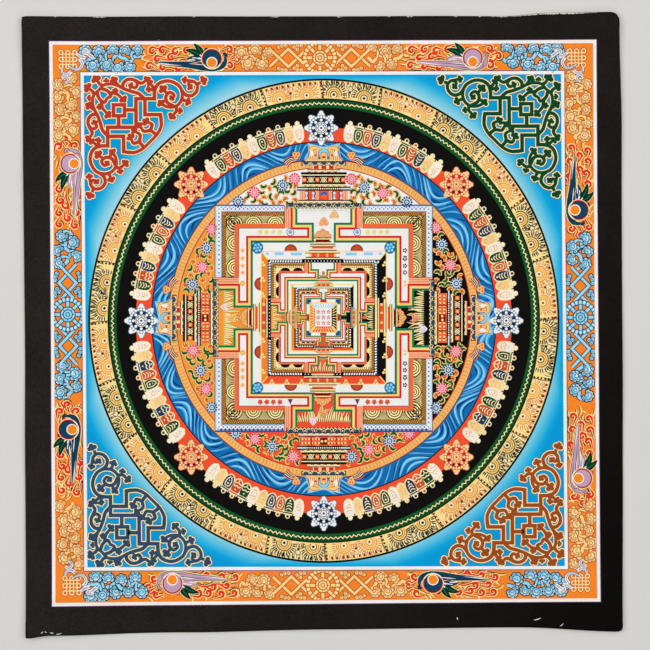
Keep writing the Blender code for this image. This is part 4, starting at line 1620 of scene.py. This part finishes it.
def knot(at):
    """Four cords across and four upright, joined by eight loops round the edge."""
    cords = KNOT_PITCH * np.array([-0.75, -0.25, 0.25, 0.75])
    reach = 0.8 * KNOT_PITCH
    cross = np.concatenate([np.stack([cords * 1j - reach, cords * 1j + reach], -1),
                            np.stack([cords - reach * 1j, cords + reach * 1j], -1)])
    ends = KNOT_PITCH * np.array([1, 1 + 1j, 1j, 1j - 1, -1, -1 - 1j, -1j, 1 - 1j])
    lay("border", at, ("brick", 3, stroke(cross, 2.4), loops(ends, 2.05, 2.5, 12)),
        ("straw", 4, stroke(cross, 1.2), loops(ends, 2.05, 1.3, 12)),
        ("cream", 5, loops(ends + 0.2j, 2.05, 0.5, 12)))


SCARF = (                               # corners of its folds, and their widths at both ends
    ([16.8 + 4.4j, 16 + 7.6j, 21.9 + 8.2j], 3.0, 2.6),
    ([18.6 + 6.2j, 21.5 + 4.4j, 25 + 1.8j], 3.4, 3.8),
    ([8.7 + 5.7j, 12.7 + 2.9j, 17.7 + 1.3j], 2.6, 4.0),
    ([11.5 + 0.4j, 14.3 - 3.8j, 12.6 - 8.3j, 8.7 - 10.2j, 3.7 - 8.8j, 0.3 - 6.3j], 3.6, 1.4),
    ([-6.4 - 9.4j, -5.4 - 13.4j, -0.8 - 14.8j, 3.1 - 12.5j], 1.6, 3.8),
    ([-6.2 - 18.3j, -3.1 - 16.4j, 0.3 - 19.5j, -0.8 - 22.6j, -3.3 - 23.2j], 3.2, 2.2),
)
for mirror in (1, -1):
    for flip in (1, -1):
        at = in_corner(-254.2 + (261.9j if flip > 0 else 263.2j), mirror, flip)
        knot(at)
        for corners, first, last in SCARF:
            path = smooth(corners)[None]
            width = np.linspace(first, last, path.size)
            outlined("white", "navy", 10, path, width, 0.55, at)
            lay("border", at, ("lilac", 12, stroke(path + 0.5j, 0.22 * width)),
                ("navy", 12, stroke(path[:, 2:-2] - 0.5j, 0.4)))

# %% [markdown]
# ## Frets in the corners of the sky
#
# In each corner of the sky lies a fret of traditional kind, half key pattern and half scrollwork. It is the
# same on both sides of its diagonal, so one half is drawn and reflected. Its lines end in knobs of three
# lobes. A cream line and a thin dark one edge the whole.

# %% Lines of half a fret, in millimetres from the corner: along the side, and away from it
FRET_LINE = 3.7
KEYS = (                                # straight runs
    [40.5 - 34.6j, 52 - 34.6j, 52 - 23.5j, 70.5 - 23.5j, 70.5 - 17j],
    [52 - 34.6j, 52 - 52j],
    [61 - 23.5j, 61 - 39.4j, 76.3 - 39.4j, 77.3 - 45j],
)
TENDRILS = (                            # curved runs
    [77 - 44j, 77 - 51j, 73 - 59j, 66.2 - 66.2j],
    [70.5 - 18j, 72 - 12j, 76.5 - 7.5j, 84 - 5.8j, 91 - 7.8j, 96.5 - 12.5j, 98.5 - 20j, 96.5 - 27j,
     91 - 31.5j, 84 - 31.8j, 78.5 - 29.5j],
    [90 - 31j, 83.5 - 27.5j, 82 - 21.5j, 86 - 17.2j, 90.2 - 20j, 88.6 - 23.4j],
    [83.5 - 19j, 80.5 - 15j],
    [97.5 - 15j, 101.5 - 19.5j, 107.5 - 20.6j, 112.5 - 16.5j, 113.5 - 10.5j, 109.5 - 6.3j, 105 - 8j,
     105.5 - 12j],
    [109 - 6.5j, 103 - 5j], [113 - 9j, 117 - 7.5j],
    [61 - 24j, 55 - 18.5j, 47.5 - 16.2j, 40 - 13.4j, 33.5 - 10j, 26.5 - 8.6j, 19.5 - 10j, 15 - 15j],
    [39 - 13j, 39.5 - 8j, 44 - 4.3j, 50 - 4.6j, 53.5 - 8.5j, 51.5 - 12.5j, 47.5 - 11j],
    [51 - 5j, 57.5 - 8j, 62 - 5.4j], [34 - 10j, 31.5 - 6j], [71 - 14j, 67 - 9j], [70.5 - 15j, 66 - 14j],
    [19 - 10.3j, 15.8 - 8.5j, 13.5 - 5.2j], [17 - 13j, 23.5 - 15.5j, 27 - 20.5j, 23 - 23j],
    [26 - 17.5j, 32.5 - 18.5j, 37.5 - 22.5j], [72.5 - 60j, 66.5 - 55.5j, 59.8 - 56j, 56.5 - 51.5j],
    [66 - 55.5j, 68 - 49.5j, 63.5 - 46.8j], [97.5 - 24j, 102 - 26j], [92 - 31j, 92.5 - 35.5j, 89.5 - 39.5j],
)
KNOBS = (                               # where a knob sits, the way it points in degrees, its size
    (77.4 - 28.4j, 130, 1.0), (88.2 - 22.6j, 220, 0.75), (79.6 - 14.4j, 130, 1.1), (106 - 11.8j, -40, 0.8),
    (101.6 - 4.9j, 170, 0.85), (119 - 5.6j, 20, 1.1), (47.6 - 10.6j, 160, 0.8), (63.2 - 5j, 40, 1.0),
    (30.4 - 5.2j, 120, 1.0), (66.4 - 8j, 130, 0.85), (65.2 - 14j, 190, 0.8), (12.6 - 4.4j, 120, 1.15),
    (39 - 23.4j, -50, 1.0), (31.5 - 15.6j, 80, 0.75), (56 - 50.4j, 130, 0.9), (62.4 - 46.6j, 150, 1.0),
    (103.4 - 26.6j, -20, 0.95), (88.4 - 40.6j, 230, 1.0), (95.6 - 35.6j, -10, 0.8), (22.5 - 5.8j, 90, 0.7),
)


def fret(colour, at):
    """Both halves of one fret. Its curved lines thin towards their ends, and a knob is three lobes."""
    lines = [(smooth(corners, 8), np.linspace(1.0, 0.82, 8 * len(corners) - 7)) for corners in TENDRILS]
    lines += [(route(corners, 6), 1.0) for corners in KEYS]
    ring = route([29.5 - 29.5j, 40.5 - 29.5j, 40.5 - 40.5j, 29.5 - 40.5j], 6, closed=True)
    for tint, coat, edge in (("umber", 2, 1.4), ("cream", 3, 1.0), (colour, 4, 0.0)):
        parts = [stroke(line, FRET_LINE * share + 2 * edge) for line, share in lines]
        for place, way, size in KNOBS:
            lobe = place + 2.5 * size * polar(way + np.array([-80, 0, 80]))
            parts.append(dots(np.append(lobe, place), 2.15 * size + edge, 12))
        reflected = ((-1j * points.conj(), triangles) for points, triangles in parts)
        film("frets", tint, coat, *parts, *reflected, stroke(ring, FRET_LINE + 2 * edge, closed=True), at=at)


for mirror, flip, colour in ((1, 1, "rust"), (-1, 1, "pine"), (1, -1, "slate"), (-1, -1, "sienna")):
    fret(colour, in_corner(-238.6 + 246.0j, mirror, flip))

# %% [markdown]
# ## The cut edges
#
# The shears went through paint, chalk and cotton at once. Along the cut a pale thread shows, and at the top
# the brittle ground flaked off, most of all towards the right.

# %% Bare threads and chips, in millimetres on the canvas
TOP_CHIPS = (                           # where along the top edge, how long, how wide at most
    (-268, 3, 0.7), (-230, 14, 0.7), (-130, 3, 0.6), (-52, 9, 0.7), (14, 6, 0.7), (65, 3, 0.8), (84, 6, 1.0),
    (131, 4, 0.6), (155, 4, 0.7), (168, 19, 0.7), (189, 86, 1.1),
)
LOW_CHIPS = (                           # place, length, width, and the way it points in degrees
    (-281 - 307.6j, 3.0, 0.7, 30), (-277 - 305.6j, 2.4, 0.6, -50), (-272 - 306.8j, 4.0, 0.7, -20),
    (-266 - 308.4j, 6.0, 0.6, -4), (134.8 - 294.0j, 2.0, 1.2, 80), (211 - 294.6j, 8.0, 0.8, 2),
    (237 - 300.8j, 5.0, 0.6, 25),
)


def on_canvas(points):
    """Places that are already the canvas's own."""
    return points


for start, length, wide in TOP_CHIPS:
    x = np.arange(start, start + length + 1e-9, 1.0)
    taper = np.minimum(1, 0.2 + np.sin(np.pi * (x - start) / length))
    width = np.maximum(about(0.5, 0.5, len(x)) * wide, 0.1) * taper
    path = x + 1j * (1000 * edge_at(TOP_EDGE, x / 1000) - 0.4 - 0.5 * width)
    film("edges", "ivory", 1, stroke(path, width), at=on_canvas)
for place, length, wide, way in LOW_CHIPS:
    path = curl(place, way, length, 30, steps=4)
    film("edges", "ivory", 1, stroke(path, wide * swell(4)), at=on_canvas)
for rows, inward in ((LEFT_EDGE, 1), (RIGHT_EDGE, -1)):
    y = np.linspace(-296, 298, 120)
    path = 1000 * edge_at(rows, y / 1000) + 0.35 * inward + 1j * y
    film("edges", "thread", 1, stroke(path, about(0.4, 0.15, 120)), at=on_canvas)

# %% Dry all the paint
films = [dry(*pot) for pot in pots]
print(len(films), "films of paint,", sum(len(f.data.polygons) for f in films), "triangles")

# %% [markdown]
# ## Floor, light and camera
#
# The painting is shown as it was photographed, from straight above. Soft lights stand at the sides, so that
# no sheen falls into the lens.

# %% The floor
FLOOR_CORNERS = np.array([(-3, -3, -0.0002), (3, -3, -0.0002), (3, 3, -0.0002), (-3, 3, -0.0002)])
floor = mesh_of("floor", FLOOR_CORNERS, np.array([[0, 1, 2, 3]]))
floor.data.materials.append(matt("pale_floor", srgb("d9d8d4"), drift=0.02, streaks=0.0)[0])

# %% Lights
LIGHTS = (                          # place and power, in metres and watts
    ((-1.9, 0.3, 1.9), 28.5), ((1.9, 0.3, 1.9), 25.0), ((0.0, 2.1, 1.8), 12.5), ((0.0, -2.1, 1.8), 11.5),
)
for number, (place, power) in enumerate(LIGHTS):
    lamp = bpy.data.lights.new(f"softbox_{number}", "AREA")
    lamp.size = 1.4
    lamp.energy = power
    light = bpy.data.objects.new(lamp.name, lamp)
    light.location = place
    light.rotation_euler = Vector(place).to_track_quat("Z", "Y").to_euler()
    bpy.context.scene.collection.objects.link(light)
world = bpy.data.worlds.new("studio")
world.use_nodes = True
world.node_tree.nodes["Background"].inputs["Color"].default_value = (1, 1, 1, 1)
world.node_tree.nodes["Background"].inputs["Strength"].default_value = 0.30
bpy.context.scene.world = world
bpy.context.scene.view_settings.view_transform = "Standard"

# %% Camera
LENS = 85.0
SENSOR = 36.0
FRAME_WIDTH = 0.650                 # metres of the painting across the picture
lens = bpy.data.cameras.new("camera")
lens.lens = LENS
lens.sensor_width = SENSOR
camera = bpy.data.objects.new("camera", lens)
camera.location = (0.0025, 0.00025, THICKNESS + FRAME_WIDTH * LENS / SENSOR)
bpy.context.scene.collection.objects.link(camera)
bpy.context.scene.camera = camera
